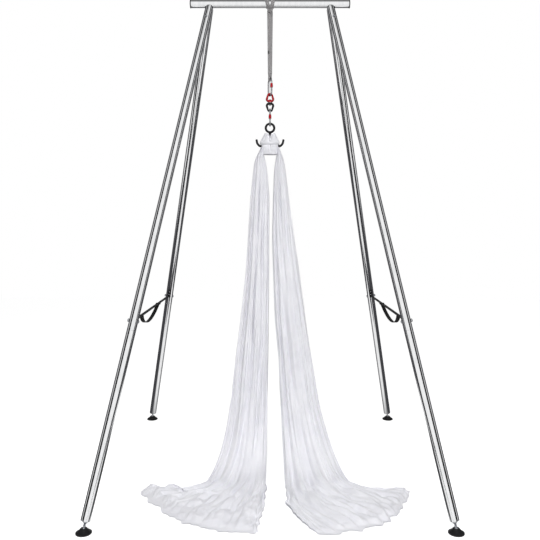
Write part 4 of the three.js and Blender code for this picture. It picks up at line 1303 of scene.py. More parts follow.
def sling_turn(side):
    """One turn on the bar, which leans to the middle under it."""
    half = SLING_TURN_WIDTH / 2
    turn = turned_about(pipe(SLING_OUTER, SLING_INNER, -half, half, SLING_EDGE, TUBE_SIDES), 90, "Y")
    from_share, over_share = SLING_LEAN_SHARES
    points = []
    for point in turn[0]:
        lean = smooth((SLING_OUTER * from_share - point.z) / (over_share * SLING_OUTER))
        x = point.x + side * ((SLING_TURN_WIDTH + SLING_TURN_SPACE) / 2 - SLING_TURN_LEAN * lean)
        points.append(Vector((x, point.y, point.z + BAR_HEIGHT)))
    return points, turn[1], turn[2]


def sling_bight():
    """The part of the loop that crosses over both turns in front."""
    middle_radius = SLING_OUTER + GAP + SLING_PLY / 2
    stations = []
    for k in range(BIGHT_STEPS + 1):
        share = k / BIGHT_STEPS
        angle = math.radians(lerp(BIGHT_FIRST_DEGREES, BIGHT_LAST_DEGREES, share))
        out = Vector((0, math.cos(angle), math.sin(angle)))
        lifted = middle_radius + SLING_PLY * BIGHT_SWELL_SHARE * math.sin(math.pi * share)
        middle = Vector((0, 0, BAR_HEIGHT)) + out * lifted
        stations.append((middle, Vector((1, 0, 0)), out, BIGHT_WIDTH_SHARE))
    return ribbon(stations, SLING_WIDTH, SLING_PLY)


def sling_strand(sign):
    """Stations down one strand. It turns into line with the carabiner and opens round its wire."""
    stations = []
    for k in range(STRAND_STEPS + 1):
        share = k / STRAND_STEPS
        level = lerp(SLING_HITCH, SLING_FOOT, share)
        twist = math.radians(SLING_TWIST) * share ** 2
        close = smooth((SLING_FOOT + SLING_TURNED_ABOVE - level) / SLING_TURNED_ABOVE)
        across, out = heading(lerp(twist, math.radians(UPPER_CARABINER_DEGREES), close))
        knot = 1 - smooth((SLING_HITCH - level) / HITCH_DROP)
        apart = lerp((SLING_PLY + GAP) / 2, WIRE_RADIUS + GAP + SLING_PLY / 2, close ** 3)
        apart += HITCH_SPREAD * knot
        width = lerp(SLING_LOOP_WIDTH, SLING_FOOT_WIDTH, share) / SLING_WIDTH
        width *= lerp(1, HITCH_WIDTH_SHARE, knot)
        stations.append((Vector((0, 0, level)) + out * sign * apart, across, out * sign, width))
    return stations


def sling_loop():
    """Both strands and the turn under the carabiner's wire. The webbing is curled lengthwise, which gives it
    a light and a dark side, and it droops round the wire at its foot."""
    front, rear = sling_strand(-1), sling_strand(1)
    across, sideways = heading(math.radians(UPPER_CARABINER_DEGREES))
    up = Vector((0, 0, 1))
    under = []
    for k in range(1, FOOT_TURN_STEPS):
        turn = math.pi * k / FOOT_TURN_STEPS
        out = -sideways * math.cos(turn) - up * math.sin(turn)
        middle = up * SLING_FOOT + out * (WIRE_RADIUS + GAP + SLING_PLY / 2)
        under.append((middle, across, out, front[-1][3]))
    loop = ribbon(front + under + rear[::-1], SLING_WIDTH, SLING_PLY)
    drooping = SLING_TURNED_ABOVE * SLING_DROOP_SHARE
    points = []
    for point in loop[0]:
        free = smooth((point.z - SLING_FOOT) / SLING_TURNED_ABOVE)
        free *= smooth((SLING_HITCH - point.z) / HITCH_DROP)
        curled = point + Vector((0, sling_curl(point.x) * free, 0))
        offset = curled.dot(across)
        droop = CARABINER_SIDE - math.sqrt(max(0, CARABINER_SIDE ** 2 - offset * offset))
        points.append(curled - up * droop * smooth((SLING_FOOT + drooping - curled.z) / drooping))
    return points, loop[1], loop[2]


def sling_knot():
    """The pleated bundle where the strands leave the hitch."""
    rings = []
    for share, width, depth in KNOT_SIZES:
        level = BAR_HEIGHT - SLING_OUTER - HITCH_DROP * share * KNOT_LENGTH_SHARE
        ring = []
        for j, (x, y) in enumerate(circle(ROD_SIDES)):
            turn = KNOT_PLEATS * math.tau * j / ROD_SIDES + KNOT_PLEAT_TWIST * share
            pleat = (1 + KNOT_PLEAT_SHARE * math.sin(turn)) / 2
            ring.append(Vector((
                width * pleat * math.copysign(abs(x) ** KNOT_SQUARENESS, x),
                depth * pleat * math.copysign(abs(y) ** KNOT_SQUARENESS, y), level,
            )))
        rings.append(ring)
    return loft(rings)


def bar_tack():
    """Dark zigzag stitches that join both strands."""
    level = lerp(SLING_HITCH, SLING_FOOT, TACK_SHARE)
    across, out = heading(math.radians(SLING_TWIST) * TACK_SHARE ** 2)
    out = -out
    stitches = []
    for row in range(TACK_ROWS):
        start = Vector((0, 0, level + (row - TACK_ROWS / 2) * TACK_ROW_SPACE))
        start += out * (SLING_PLY + GAP / 2 + TACK_LIFT)
        for k in range(TACK_STITCHES):
            rise = TACK_ZIGZAG if k % 2 else -TACK_ZIGZAG
            left, right = [
                start + across * x + Vector((0, sling_curl(x), height))
                for x, height in ((lerp(TACK_FROM, TACK_TO, k / TACK_STITCHES), -rise),
                                  (lerp(TACK_FROM, TACK_TO, (k + 1) / TACK_STITCHES), rise))
            ]
            side_way = (right - left).normalized().cross(out)
            sizes = [(left, TACK_END_RADIUS), ((left + right) / 2, TACK_RADIUS), (right, TACK_END_RADIUS)]
            stitches.append(loft([
                [at + (side_way * x + out * y) * size for x, y in circle(TACK_SIDES)] for at, size in sizes
            ]))
    return merged(*stitches)


def make_sling():
    """Two turns on the bar, the bight over them, and both strands down to the carabiner and round it."""
    sling = merged(sling_turn(-1), sling_turn(1), sling_bight(), sling_loop(), sling_knot())
    make("bar_sling", sling, "frame", GREY_WEBBING, "hang_sling")
    make("sling_bar_tack", bar_tack(), "frame", BLACK_WEBBING)


def carabiner_frame():
    """The bent wire with its open side, and the tang that the gate hinges on."""
    side, end = CARABINER_SIDE, CARABINER_END
    path = rounded_path([
        (side, NOSE_HEIGHT, 0), (side, end, side), (-side, end, side),
        (-side, -end, side), (side, -end, side), (side, -GATE_BOTTOM, 0),
    ], False)
    thin = WIRE_RADIUS - GAP
    sizes = [(thin * reach + TANG_OVERLAP, thin * rise - GATE_PIN_DROP) for rise, reach in quarter()]
    sizes.append((thin, -GATE_BOTTOM - WIRE_RADIUS / 2))
    half = TANG_THICKNESS / 2
    tang = [
        [Vector((side + a * reach, b * half, level)) for a, b in ((-1, -1), (1, -1), (1, 1), (-1, 1))]
        for reach, level in sizes
    ]
    return merged(wire(path, WIRE_RADIUS), loft(tang))


def gate_cheek(sign):
    """One of the gate's two rounded cheeks, which stand beside the tang."""
    start = math.asin((TANG_THICKNESS / 2 + GAP) / WIRE_RADIUS)
    rings = []
    for k in range(-ARC_STEPS, ARC_STEPS + 1):
        if k > 0:
            level = (WIRE_RADIUS + 2 * GAP) * k / ARC_STEPS
            limit = WIRE_RADIUS
        else:
            level = WIRE_RADIUS * math.sin(math.pi / 2 * k / ARC_STEPS)
            limit = max(CHEEK_EDGE, math.sqrt(max(0, WIRE_RADIUS ** 2 - level ** 2)))
        ring = []
        for j in range(ARC_STEPS + 1):
            angle = lerp(start, math.pi - start, j / ARC_STEPS)
            x = max(-limit, min(limit, WIRE_RADIUS * math.cos(angle)))
            ring.append(Vector((x, sign * WIRE_RADIUS * math.sin(angle), level - GATE_PIN_DROP)))
        rings.append(ring)
    return loft(rings)


def carabiner_gate():
    """The gate's rod: a stop rim for the sleeve, its thread and the nose end."""
    top = NOSE_HEIGHT - NOSE_GAP
    slot_top = -GATE_PIN_DROP + WIRE_RADIUS + 2 * GAP
    rim = WIRE_RADIUS + GATE_STOP_RIM
    stop_top = GATE_STOP_HEIGHT + GATE_STOP_LENGTH
    outline = [
        (AXIS, slot_top), (WIRE_RADIUS, slot_top), (WIRE_RADIUS, GATE_STOP_HEIGHT),
        (rim, GATE_STOP_HEIGHT), (rim, stop_top), (WIRE_RADIUS, stop_top),
    ]
    level = stop_top + GATE_STOP_LENGTH
    while level < top - 2 * GATE_THREAD_PITCH:
        root = WIRE_RADIUS - GATE_THREAD_PITCH / 3
        outline += [(WIRE_RADIUS, level), (root, level + GATE_THREAD_PITCH / 2)]
        level += GATE_THREAD_PITCH
    outline += [
        (WIRE_RADIUS, level), (WIRE_RADIUS, top - TUBE_EDGE), (WIRE_RADIUS - TUBE_EDGE, top), (AXIS, top),
    ]
    return shifted(merged(lathe(outline), gate_cheek(-1), gate_cheek(1)), x=CARABINER_SIDE)


def screw_sleeve(high):
    """A sleeve with fine ribs along its lower part and a groove over them."""
    inner = WIRE_RADIUS + SLEEVE_CLEARANCE
    low = high - SLEEVE_LENGTH
    ribbed = low + SLEEVE_LENGTH / 3 * 2
    bevel = SLEEVE_WALL / 2

    def section(level, grow, ribs):
        ring = []
        for j, (x, y) in enumerate(circle(TUBE_SIDES)):
            rib = math.sqrt(max(0, math.cos(SLEEVE_RIBS * math.tau * j / TUBE_SIDES)))
            radius = inner + SLEEVE_WALL + grow + SLEEVE_RIB_HEIGHT * ribs * rib
            ring.append(Vector((radius * x, radius * y, level)))
        return ring

    groove_start, groove_end, above = [ribbed + place for place in SLEEVE_GROOVE_PLACES]
    sleeve = loft([
        level_ring(inner + SLEEVE_BORE_EDGE, low), section(low, -bevel, 0),
        section(low + bevel / 2, -bevel / 4, 0), section(low + bevel, 0, SLEEVE_RIB_START_SHARE),
        section(low + 2 * bevel, 0, 1), section(ribbed, 0, 1),
        section(groove_start, -SLEEVE_GROOVE_DEPTH, 0), section(groove_end, -SLEEVE_GROOVE_DEPTH, 0),
        section(above, 0, 0), section(high - bevel, 0, 0), section(high - bevel / 3, -bevel / 3, 0),
        section(high, -bevel, 0), level_ring(inner + SLEEVE_BORE_EDGE, high),
        level_ring(inner, high - SLEEVE_BORE_EDGE), level_ring(inner, low + SLEEVE_BORE_EDGE),
    ], joined=True)
    return shifted(sleeve, x=CARABINER_SIDE)


def make_carabiner(name, middle, degrees, drop, body, gate_body, sleeve_body):
    place = upright(middle, degrees)
    bent = moved(carabiner_frame(), place)
    make(name + "_carabiner_frame", bent, body, BRIGHT_STEEL, name + "_carabiner_body")
    gate = moved(carabiner_gate(), place)
    make(name + "_gate_arm", gate, gate_body, BRIGHT_STEEL, name + "_carabiner_gate")
    sleeve = moved(screw_sleeve(NOSE_HEIGHT - drop), place)
    make(name + "_red_sleeve", sleeve, sleeve_body, RED, name + "_screw_sleeve")


def ring_swell(point):
    """The swivel's ring wire is thicker near its boss."""
    return 1 + SWIVEL_SWELL * smooth((SWIVEL_HEIGHT - 3 * SWIVEL_WIRE - point.z) / SWIVEL_SWELL_EASE)


def make_swivel():
    half = SWIVEL_WIDTH / 2 - SWIVEL_WIRE
    apex = half * SWIVEL_APEX_SHARE
    high = SWIVEL_HEIGHT - SWIVEL_WIRE
    path = rounded_path([
        (half, SWIVEL_WIRE, SWIVEL_CORNER_RADIUS), (apex, high, SWIVEL_APEX_RADIUS),
        (-apex, high, SWIVEL_APEX_RADIUS), (-half, SWIVEL_WIRE, SWIVEL_CORNER_RADIUS),
    ], True)
    ring_wire = wire(path, SWIVEL_WIRE, joined=True, swell=ring_swell)
    top = SWIVEL_BOSS_HEIGHT + SWIVEL_WIRE
    bore = AXLE_RADIUS + GAP
    boss = lathe([
        (bore, 0), (SWIVEL_BOSS_RADIUS - TUBE_EDGE, 0), (SWIVEL_BOSS_RADIUS, TUBE_EDGE),
        (SWIVEL_BOSS_RADIUS, top - SWIVEL_BOSS_BEVEL), (SWIVEL_BOSS_RADIUS - TUBE_EDGE, top - TUBE_EDGE),
        (SWIVEL_BOSS_RADIUS - SWIVEL_BOSS_BEVEL, top), (bore, top), (bore, 0),
    ])
    upper = upright(SWIVEL_MIDDLE + BEARING_HEIGHT / 2)
    lower = upright(SWIVEL_MIDDLE - BEARING_HEIGHT / 2, 180, "X")
    make("swivel_eye_upper", moved(ring_wire, upper), "frame", RED, "swivel_upper_ring")
    make("swivel_boss_upper", moved(boss, upper), "frame", RED)
    make("swivel_eye_lower", moved(merged(ring_wire, boss), lower), "swivel", BLACK, "swivel_lower_ring")
    seat = top + BEARING_HEIGHT / 2 + GAP
    end = seat + AXLE_HEAD_HEIGHT
    rim = AXLE_HEAD_RADIUS - AXLE_HEAD_EDGE
    axle = lathe([
        (AXIS, -end), (rim, -end), (AXLE_HEAD_RADIUS, AXLE_HEAD_EDGE - end), (AXLE_HEAD_RADIUS, -seat),
        (AXLE_RADIUS, -seat), (AXLE_RADIUS, seat), (AXLE_HEAD_RADIUS, seat),
        (AXLE_HEAD_RADIUS, end - AXLE_HEAD_EDGE), (rim, end), (AXIS, end),
    ])
    make("swivel_axle_pin", shifted(axle, z=SWIVEL_MIDDLE), "swivel", ZINC, "swivel_axle")


def make_figure_eight():
    small_path = circle_path(SMALL_RING_RADIUS, SMALL_RING_HEIGHT, SMALL_RING_STEPS)
    small = wire(small_path, EIGHT_WIRE * SMALL_RING_SWELL, joined=True)
    large_path = circle_path(LARGE_RING_RADIUS, LARGE_RING_HEIGHT, LARGE_RING_STEPS)
    large = wire(large_path, EIGHT_WIRE, joined=True)
    low = LARGE_RING_HEIGHT + LARGE_RING_RADIUS
    high = SMALL_RING_HEIGHT - SMALL_RING_RADIUS
    outline = []
    for k in range(2 * ARC_STEPS + 1):
        share = k / (2 * ARC_STEPS)
        flare = abs(2 * share - 1) ** 3
        outline.append((EIGHT_NECK_RADIUS + EIGHT_NECK_FLARE * flare, lerp(low, high, share)))
    shapes = [small, large, lathe(outline)]
    for side in (-1, 1):
        knots = [
            Vector((side * (LARGE_RING_RADIUS + EAR_REACH * share), 0, LARGE_RING_HEIGHT + rise))
            for share, rise in ((0, EAR_DIP), (EAR_BEND_SHARE, -EAR_DIP),
                                (EAR_TURN_SHARE, EAR_RISE * EAR_TURN_RISE_SHARE), (1, EAR_RISE))
        ]
        shapes.append(wire(through(knots, EAR_STEPS), EAR_WIRE * EAR_SWELL, ends=EAR_WIRE * EAR_TIP_SHARE))
    make("rescue_eight", merged(*shapes), "swivel", BLACK, "figure_eight")


def rounded(table, place, reach):
    """The line between listed pairs, with its corners eased."""
    spots = (place - reach, place - reach / 2, place, place + reach / 2, place + reach)
    first, last = table[0][0], table[-1][0]
    return sum(between(table, min(last, max(first, spot))) for spot in spots) / len(spots)


def bell(away):
    """One at the middle, falling smoothly to none on both sides."""
    return math.exp(-away * away)


def make_wrap():
    """The cloth's bight over the figure-eight, from its top row down to its open foot."""
    rng = random.Random(WRAP_SEED)
    pleats = [
        (rng.randint(*WRAP_PLEAT_COUNTS), rng.uniform(0, math.tau), rng.uniform(*WRAP_PLEAT_TURNS))
        for k in range(WRAP_PLEATS)
    ]
    rows = []
    for i in range(WRAP_ROWS + 1):
        share = i / WRAP_ROWS
        band = smooth((share - BAND_START_SHARE) / BAND_EASE_SHARE)
        tuck = bell((share - TUCK_PLACE_SHARE) / TUCK_WIDTH_SHARE)
        half_widths = [rounded(table, share, WRAP_EASE_SHARE) for table in (WRAP_LEFT, WRAP_RIGHT)]
        half_depth = WRAP_DEPTH * rounded(WRAP_DEEP, share, WRAP_EASE_SHARE)
        row = []
        for j in range(WRAP_COLUMNS + 1):
            angle = math.tau * j / WRAP_COLUMNS
            x = math.cos(angle)
            ripple = sum(math.sin(count * angle + start + turn * share * math.tau)
                         for count, start, turn in pleats) / WRAP_PLEATS
            grown = 1 + ripple * lerp(LOBE_RIPPLE_SHARE, BAND_RIPPLE_SHARE, band)
            notch = (1 - band) * bell(x / NOTCH_WIDTH_SHARE) * (1 - smooth(share / NOTCH_LENGTH_SHARE))
            crease = band * bell(x / BAND_CREASE_WIDTH_SHARE)
            crease *= 1 - smooth((share - BAND_CREASE_START_SHARE) / BAND_CREASE_LENGTH_SHARE)
            pulled = 1 - NOTCH_DEPTH_SHARE * notch - BAND_CREASE_DEPTH_SHARE * crease
            pulled -= TUCK_DEPTH_SHARE * tuck
            row.append(Vector((
                WRAP_WIDEST * half_widths[0 if x < 0 else 1] * x * grown,
                half_depth * math.sin(angle) * grown * pulled,
                WRAP_BOTTOM + WRAP_HEIGHT * (1 - share) - NOTCH_DROP * notch,
            )))
        rows.append(row)
    return make("silk_over_eight", open_sheet(rows), "swivel", SILK, "silk_wrap", cloth=True)


def fold_lines(rng, lasting):
    """Valleys round the tail: where each lies, how wide and deep it is, and how its place and depth drift.
    The lasting one keeps its depth all the way down."""
    lines = [(lasting, LASTING_FOLD_WIDTH_SHARE, LASTING_FOLD_DEPTH_SHARE, 0, lambda run: 0, lambda run: 1)]
    for count, narrow, wide, shallow, deep in FOLD_KINDS:
        for k in range(count):
            place = (k + rng.uniform(*FOLD_PLACE_SHARES)) / count
            lines.append((place, rng.uniform(narrow, wide), rng.uniform(shallow, deep), FOLD_SWING_SHARE,
                          wander(rng, FOLD_DRIFT_WAVES), wander(rng, FOLD_FADE_WAVES)))
    return lines


def valleys_at(lines, run):
    """Where the valleys lie at a share of the tail's length, with their width and strength."""
    valleys = []
    for place, width, size, swing, drift, fade in lines:
        kept = min(1, max(0, FOLD_KEPT_SHARE + FOLD_FADING_SHARE * fade(run * FOLD_FADE_PACE)))
        valleys.append((place + swing * drift(run * FOLD_DRIFT_PACE), width, size * kept))
    return valleys


def valley_depth(valleys, share):
    depth = 0
    for place, width, strength in valleys:
        away = (share - place) / width
        if abs(away) < FOLD_REACH:
            depth += strength * bell(away) * (1 - depth)
    return depth


def wrinkle(point):
    """Sharp creases that cross one another, from 0 to about 1."""
    return sum(
        max(0, 1 - sharpness * abs(noise.noise(point * size))) * share
        for sharpness, size, share in zip(WRINKLE_SHARPNESS, WRINKLE_SIZES, WRINKLE_SHARES)
    )


def hem_noise(across, seed):
    """How far the hem is out of line, from broad scallops and finer ones."""
    broad, fine = HEM_RAGGED_PACES
    broad_share, fine_share = HEM_RAGGED_SHARES
    return (broad_share * noise.noise(Vector((across * broad + seed, HEM_RAGGED_LEVEL, 0)))
            + fine_share * noise.noise(Vector((across * fine, seed, 0))))


def bend_at_floor(rows):
    """Turns the corner at the floor into a smooth curve between a hanging row and a row on the floor."""
    first, last = HANG_ROWS - BEND_ABOVE_ROWS, HANG_ROWS + BEND_BEYOND_ROWS
    upper, corner, lower = rows[first], rows[HANG_ROWS], rows[last]
    for i in range(first + 1, last):
        t = (i - first) / (last - first)
        rows[i] = [
            a * (1 - t) ** 2 + b * 2 * t * (1 - t) + c * t * t for a, b, c in zip(upper, corner, lower)
        ]


def relief(lines, swells, seed, run):
    """For each column round the tail: the way out of the cloth, and how strong the fold, the swell and the
    crease are there."""
    valleys = valleys_at(lines, run)
    columns = []
    for j in range(TAIL_COLUMNS + 1):
        share = j / TAIL_COLUMNS
        angle = math.tau * lerp(TAIL_SEAM_SHARE, 1 - TAIL_SEAM_SHARE, share)
        swell = sum(math.sin(pace * angle + begin + drift(run * SWELL_DRIFT_PACE))
                    for pace, begin, drift in swells) / SWELLS
        crease = wrinkle(Vector((share * CREASE_PACE + seed, run * CREASE_LENGTH_PACE, seed)))
        columns.append((-math.cos(angle), math.sin(angle), valley_depth(valleys, share), swell, crease))
    return columns


def hanging_row(columns, side, hang, inner, outer):
    """A row of the tail where it hangs, gathered between its inner and outer edge."""
    level = lerp(WRAP_BOTTOM + WRAP_FLOOR, SILK_BASE + TAIL_FOOT_RISE / 2, hang)
    depth = lerp(TAIL_TOP_DEPTH, TAIL_FOOT_DEPTH, hang)
    forward = TAIL_FORWARD * max(0, hang) ** 3
    tilt = TAIL_FOOT_RISE / 2 * max(0, hang) ** TILT_SUDDENNESS
    fold_depth = lerp(FOLD_TOP_DEPTH_SHARE, FOLD_DEPTH_SHARE, smooth(hang * FOLD_DEEPENING_PACE))
    creased = CREASE_INWARD_SHARE * smooth((hang - CREASE_START_SHARE) / CREASE_GROWTH_SHARE)
    row = []
    for out_x, out_y, valley, swell, crease in columns:
        inward = fold_depth * valley - SWELL_DEPTH_SHARE * swell + creased * crease
        narrowed = 1 - FOLD_SIDE_DEPTH_SHARE * inward * abs(out_x) ** 3
        x = (inner + outer) / 2 + (outer - inner) / 2 * out_x * narrowed
        row.append(Vector((side * x, -forward - depth * out_y * (1 - inward), level + tilt * out_y)))
    return row


def pool_edges(pool, lying):
    """The inner and outer edge of the cloth on the floor, at a share of the way to its hem."""
    at = lying * (len(pool) - 1)
    k = min(int(at), len(pool) - 2)
    return [lerp(a, b, at - k) * POOL_REACH for a, b in zip(pool[k], pool[k + 1])]


def lying_row(columns, side, seed, lying, pool, bulge):
    """A row of the tail where it lies on the floor. It thins out to the hem, and both its long edges and the
    hem are scalloped."""
    inner_x, inner_y, outer_x, outer_y = pool_edges(pool, lying)
    line = Vector((outer_x - inner_x, outer_y - inner_y, 0)).normalized()
    onward = Vector((line.y, -line.x, 0)) * side
    height = lerp(POOL_HEIGHT, POOL_TIP_HEIGHT, lying ** 2) * smooth((1 - lying) * POOL_THINNING_PACE)
    shut = smooth((1 - lying) * CREASE_FADING_PACE)
    hem = smooth((lying - HEM_START_SHARE) / (1 - HEM_START_SHARE))
    row = []
    for out_x, out_y, valley, swell, along in columns:
        across = (1 + out_x) / 2
        flat = Vector((lerp(inner_x, outer_x, across), lerp(inner_y, outer_y, across), 0))
        flat += Vector((*bulge, 0)) * POOL_REACH * 4 * across * (1 - across) * lying ** BULGE_GROWTH
        crease = wrinkle(Vector((flat.x / FLOOR_CREASE_SIZE + seed, flat.y / FLOOR_CREASE_SIZE,
                                 FLOOR_CREASE_LEVEL)))
        crease *= smooth(2 * (lying - FLOOR_CREASE_START_SHARE))
        top_side = max(0, out_y)
        rise = height * top_side ** POOL_ROUNDING * (1 + POOL_SWELL_SHARE * swell)
        rise *= 1 - POOL_FOLD_DEPTH_SHARE * min(1, valley)
        rise += (crease * FLOOR_CREASE_HEIGHT - along * CREASE_DEPTH) * top_side ** CREASE_ROUNDING * shut
        rise = max(rise, LAYER_GAP * math.sqrt(top_side))
        edge = math.copysign(1, out_x)
        near_edge = abs(out_x) ** EDGE_NARROWNESS
        ragged = noise.noise(Vector((lying * EDGE_RAGGED_PACE, edge * EDGES_APART + seed, 0)))
        ragged += EDGE_CREASE_SHARE * (crease - 0.5)
        flat += line * edge * POOL_SCALLOP * ragged * near_edge * smooth(lying * EDGE_START_PACE)
        ragged = hem_noise(across, seed) * hem * (1 - near_edge)
        flat += onward * POOL_SCALLOP * HEM_SCALLOP_SHARE * ragged
        row.append(flat + Vector((0, 0, SILK_BASE + rise)))
    return row


def make_tail(name, side, reach, inner_line, outer_line, pool, bulge, seed, lasting):
    """One layer of cloth, gathered into upright folds all round the hanging tail. It turns forwards at the
    floor and spreads there: the front becomes its upper side."""
    rng = random.Random(seed)
    lines = fold_lines(rng, lasting)
    swells = [
        (rng.uniform(*SWELL_PACES), rng.uniform(0, math.tau), wander(rng, SWELL_DRIFT_WAVES))
        for k in range(SWELLS)
    ]
    total = HANG_ROWS + POOL_ROWS
    rows = []
    for i in range(total + 1):
        columns = relief(lines, swells, seed, i / total)
        if i > HANG_ROWS:
            rows.append(lying_row(columns, side, seed, (i - HANG_ROWS) / POOL_ROWS, pool, bulge))
            continue
        hang = lerp(-TAIL_LEAD_SHARE, 1, i / HANG_ROWS)
        inner, outer = [rounded(line, hang, TAIL_EASE_SHARE) * reach for line in (inner_line, outer_line)]
        rows.append(hanging_row(columns, side, hang, inner, outer))
    bend_at_floor(rows)
    for row in rows:
        for point in row:
            point.z = max(point.z, SILK_BASE)
    return make("silk_" + name, open_sheet(rows), "swivel", SILK, "silk_tail_" + name, cloth=True)


def add_camera():
    data = bpy.data.cameras.new("camera")
    data.lens = LENS
    data.sensor_width = SENSOR
    data.shift_y = HORIZON_SHIFT
    camera = bpy.data.objects.new("camera", data)
    camera.location = (0, -CAMERA_DISTANCE * MM, CAMERA_HEIGHT * MM)
    camera.rotation_euler = (math.pi / 2, 0, 0)
    bpy.context.scene.collection.objects.link(camera)
    bpy.context.scene.camera = camera


def add_lamp(name, at, aim, size, power, spread):
    data = bpy.data.lights.new(name, "AREA")
    data.shape = "SQUARE"
    data.size = size * MM
    data.energy = power
    data.spread = math.radians(spread)
    lamp = bpy.data.objects.new(name, data)
    lamp.location = Vector(at) * MM
    lamp.visible_glossy = False
    lamp.rotation_euler = (Vector(aim) - Vector(at)).to_track_quat("-Z", "Y").to_euler()
    bpy.context.scene.collection.objects.link(lamp)


def by_ray(tree, seen, mirrored, lighting):
    """One look for what is seen directly or through glass, one for mirrors, and one that lights the rest."""
    path = add_node(tree, "ShaderNodeLightPath")
    direct = add_node(
        tree, "ShaderNodeMath", {"operation": "MAXIMUM"},
        {0: path.outputs["Is Camera Ray"], 1: path.outputs["Is Transmission Ray"]},
    )
    indirect = add_node(
        tree, "ShaderNodeMixShader", {},
        {0: path.outputs["Is Glossy Ray"], 1: lighting.outputs[0], 2: mirrored.outputs[0]},
    )
    return add_node(
        tree, "ShaderNodeMixShader", {}, {0: direct.outputs[0], 1: indirect.outputs[0], 2: seen.outputs[0]}
    )


def add_surroundings():
    world = bpy.data.worlds.new("studio")
    bpy.context.scene.world = world
    world.use_nodes = True
    tree = world.node_tree
    tree.nodes.clear()
    ambient = add_node(
        tree, "ShaderNodeBackground", {"Color": colour("#FFFFFF"), "Strength": AMBIENT_STRENGTH}
    )
    # Metal sees a white studio in front of the rig and a dim one beside and behind it. That draws its edges.
    direction = add_node(tree, "ShaderNodeTexCoord").outputs["Generated"]
    parts = add_node(tree, "ShaderNodeSeparateXYZ", {}, {"Vector": direction})
    behind = add_node(
        tree, "ShaderNodeMapRange", {"From Min": -1.0, "From Max": 1.0}, {"Value": parts.outputs["Y"]}
    )
    ramp = stops(
        add_node(tree, "ShaderNodeValToRGB", {}, {"Fac": behind.outputs["Result"]}),
        (0.0, "#FFFFFF"), (0.31, "#F9F9F9"), (0.4, "#CBCBCB"), (0.5, "#ADADAF"), (0.55, "#59595B"),
        (0.9, "#59595B"), (0.98, "#CBCBCB"),
    )
    overhead = add_node(
        tree, "ShaderNodeMapRange",
        {"From Min": 0.7, "From Max": 0.82, "To Min": 1.0, "To Max": 0.42,
         "interpolation_type": "SMOOTHSTEP"},
        {"Value": parts.outputs["Z"]},
    )
    mirrored = add_node(
        tree, "ShaderNodeBackground", {},
        {"Color": ramp.outputs["Color"], "Strength": overhead.outputs["Result"]},
    )
    white = add_node(tree, "ShaderNodeBackground", {"Color": colour("#FFFFFF"), "Strength": 1.0})
    look = by_ray(tree, white, mirrored, ambient)
    add_node(tree, "ShaderNodeOutputWorld", {}, {"Surface": look.outputs[0]})


def painted_floor_reflection(tree):
    """Painted reflection: how dark metal sees the floor, white in front and painted dark beside, behind and
    under the rig.
    """
    place = add_node(tree, "ShaderNodeNewGeometry").outputs["Position"]
    parts = add_node(tree, "ShaderNodeSeparateXYZ", {}, {"Vector": place})
    along = parts.outputs["Y"]
    aside = add_node(tree, "ShaderNodeMath", {"operation": "ABSOLUTE"}, {0: parts.outputs["X"]})
    aside = add_node(
        tree, "ShaderNodeMath", {"operation": "MULTIPLY_ADD", 1: FLOOR_NARROWING},
        {0: along, 2: aside.outputs[0]},
    ).outputs[0]
    # Each slope climbs from none at its first place to the most at its last.
    slopes = []
    for source, begin, end, most in (
        (aside, FLOOR_WHITE_HALF, FLOOR_DARK_HALF, 1),
        (along, FLOOR_WHITE_REAR, FLOOR_DARK_REAR, FLOOR_REAR_DARKNESS),
        (aside, FLOOR_UNDER_HALF + FLOOR_UNDER_BLUR, FLOOR_UNDER_HALF, 1),
        (along, FLOOR_UNDER_FRONT - FLOOR_UNDER_BLUR, FLOOR_UNDER_FRONT, 1),
        (along, FLOOR_UNDER_REAR + FLOOR_UNDER_BLUR, FLOOR_UNDER_REAR, 1),
    ):
        slopes.append(add_node(
            tree, "ShaderNodeMapRange",
            {"From Min": begin * MM, "From Max": end * MM, "To Max": most,
             "interpolation_type": "SMOOTHSTEP"},
            {"Value": source},
        ).outputs["Result"])
    beside, behind, dark, under_front, under_rear = slopes
    for operation, slope in (
        ("MULTIPLY", under_front), ("MULTIPLY", under_rear), ("MAXIMUM", beside), ("MAXIMUM", behind),
    ):
        dark = add_node(tree, "ShaderNodeMath", {"operation": operation}, {0: dark, 1: slope}).outputs[0]
    return dark


def add_stage_piece(name, corners, material):
    mesh = bpy.data.meshes.new(name)
    mesh.from_pydata([Vector(corner) * MM for corner in corners], [], [(0, 1, 2, 3)])
    mesh.materials.append(material)
    piece = bpy.data.objects.new(name, mesh)
    bpy.context.scene.collection.objects.link(piece)
    return piece


def add_floor():
    """The floor's own light keeps it as white as the background and leaves a faint shadow under the rig.
    The rear legs lean away and mirror it, so for metal it glows with a painted reflection, white in front
    and dark round that."""
    material, tree = new_material("white studio floor")
    lit = add_node(tree, "ShaderNodeBsdfDiffuse", {"Color": colour("#E7E7E7")})
    glow = add_node(tree, "ShaderNodeEmission", {"Color": colour("#FFFFFF"), "Strength": FLOOR_GLOW})
    both = add_node(tree, "ShaderNodeAddShader", {}, {0: lit.outputs[0], 1: glow.outputs[0]})
    # Painted reflection: the floor's glow for mirrors, white in front and dark beside, behind and under the
    # rig.
    tone = stops(
        add_node(tree, "ShaderNodeValToRGB", {}, {"Fac": painted_floor_reflection(tree)}),
        (0.0, "#F9F9F9"), (1.0, "#454548"),
    )
    mirrored = add_node(tree, "ShaderNodeEmission", {"Strength": 1.0}, {"Color": tone.outputs["Color"]})
    look = by_ray(tree, both, mirrored, lit)
    add_node(tree, "ShaderNodeOutputMaterial", {}, {"Surface": look.outputs[0]})
    half = FLOOR_HALF
    add_stage_piece("studio_floor", [(-half, -half, 0), (half, -half, 0), (half, half, 0), (-half, half, 0)],
                    material)


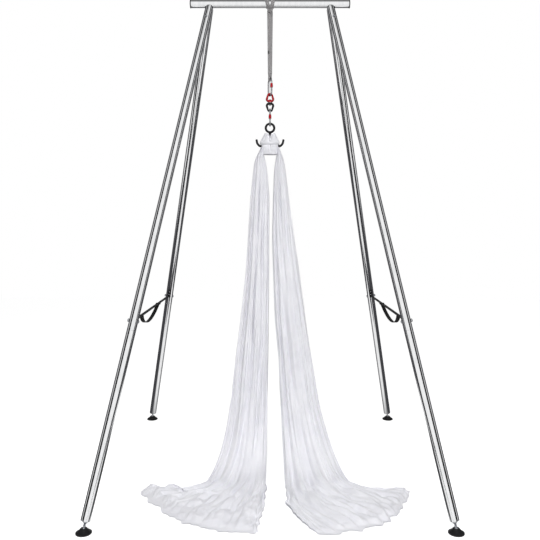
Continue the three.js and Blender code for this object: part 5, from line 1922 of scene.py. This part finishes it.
def add_backdrops():
    """A dark leaning backdrop on each side. Only metal mirrors it: it draws a front leg's dark line."""
    material, tree = new_material("dark grey backdrop cloth")
    cloth = add_node(tree, "ShaderNodeBsdfDiffuse", {"Color": colour("#272728")})
    add_node(tree, "ShaderNodeOutputMaterial", {}, {"Surface": cloth.outputs[0]})
    turn = math.radians(BACKDROP_DEGREES)
    for name, side in (("backdrop_left", -1), ("backdrop_right", 1)):
        out = Vector((side * math.sin(turn), -math.cos(turn), 0))
        along = Vector((out.y, -out.x, 0)) * BACKDROP_WIDTH / 2
        low = Vector((side * FOOT_SPREAD_X, -FOOT_SPREAD_Y, BACKDROP_LOW)) + out * BACKDROP_DISTANCE
        high = Vector((side * LEG_TOP_SPREAD, 0, BACKDROP_HIGH)) + out * BACKDROP_DISTANCE
        backdrop = add_stage_piece(name, [low - along, low + along, high + along, high - along], material)
        backdrop.visible_camera = False
        backdrop.visible_diffuse = False
        backdrop.visible_transmission = False
        backdrop.visible_shadow = False


add_camera()
make_bar()
for corner in CORNERS:
    make_leg(*corner)
make_strap("left", -1)
make_strap("right", 1)
make_sling()
make_carabiner("upper", UPPER_CARABINER, UPPER_CARABINER_DEGREES, UPPER_SLEEVE_DROP,
               "frame", "upper_gate", "upper_sleeve")
make_swivel()
make_carabiner("lower", LOWER_CARABINER, LOWER_CARABINER_DEGREES, LOWER_SLEEVE_DROP,
               "swivel", "lower_gate", "lower_sleeve")
make_figure_eight()
wrap = make_wrap()
left = make_tail("left", -1, TAIL_LEFT_REACH, LEFT_INNER, LEFT_OUTER, LEFT_POOL, LEFT_BULGE,
                 TAIL_LEFT_SEED, LASTING_LEFT_SHARE)
right = make_tail("right", 1, TAIL_RIGHT_REACH, RIGHT_INNER, RIGHT_OUTER, RIGHT_POOL, RIGHT_BULGE,
                  TAIL_RIGHT_SEED, LASTING_RIGHT_SHARE)

# The solids that no piece replaces are hidden parts of zinc plated steel.
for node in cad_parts.values():
    if not node.hide_render:
        node.data.materials.clear()
        node.data.materials.append(ZINC[1])

# The steel shows no trace of the cloth beside it in the picture.
left.visible_glossy = False
right.visible_glossy = False

add_surroundings()
add_floor()
add_backdrops()
add_lamp("key", *KEY_LAMP)
add_lamp("fill", *FILL_LAMP)
bpy.context.scene.view_settings.view_transform = "Standard"
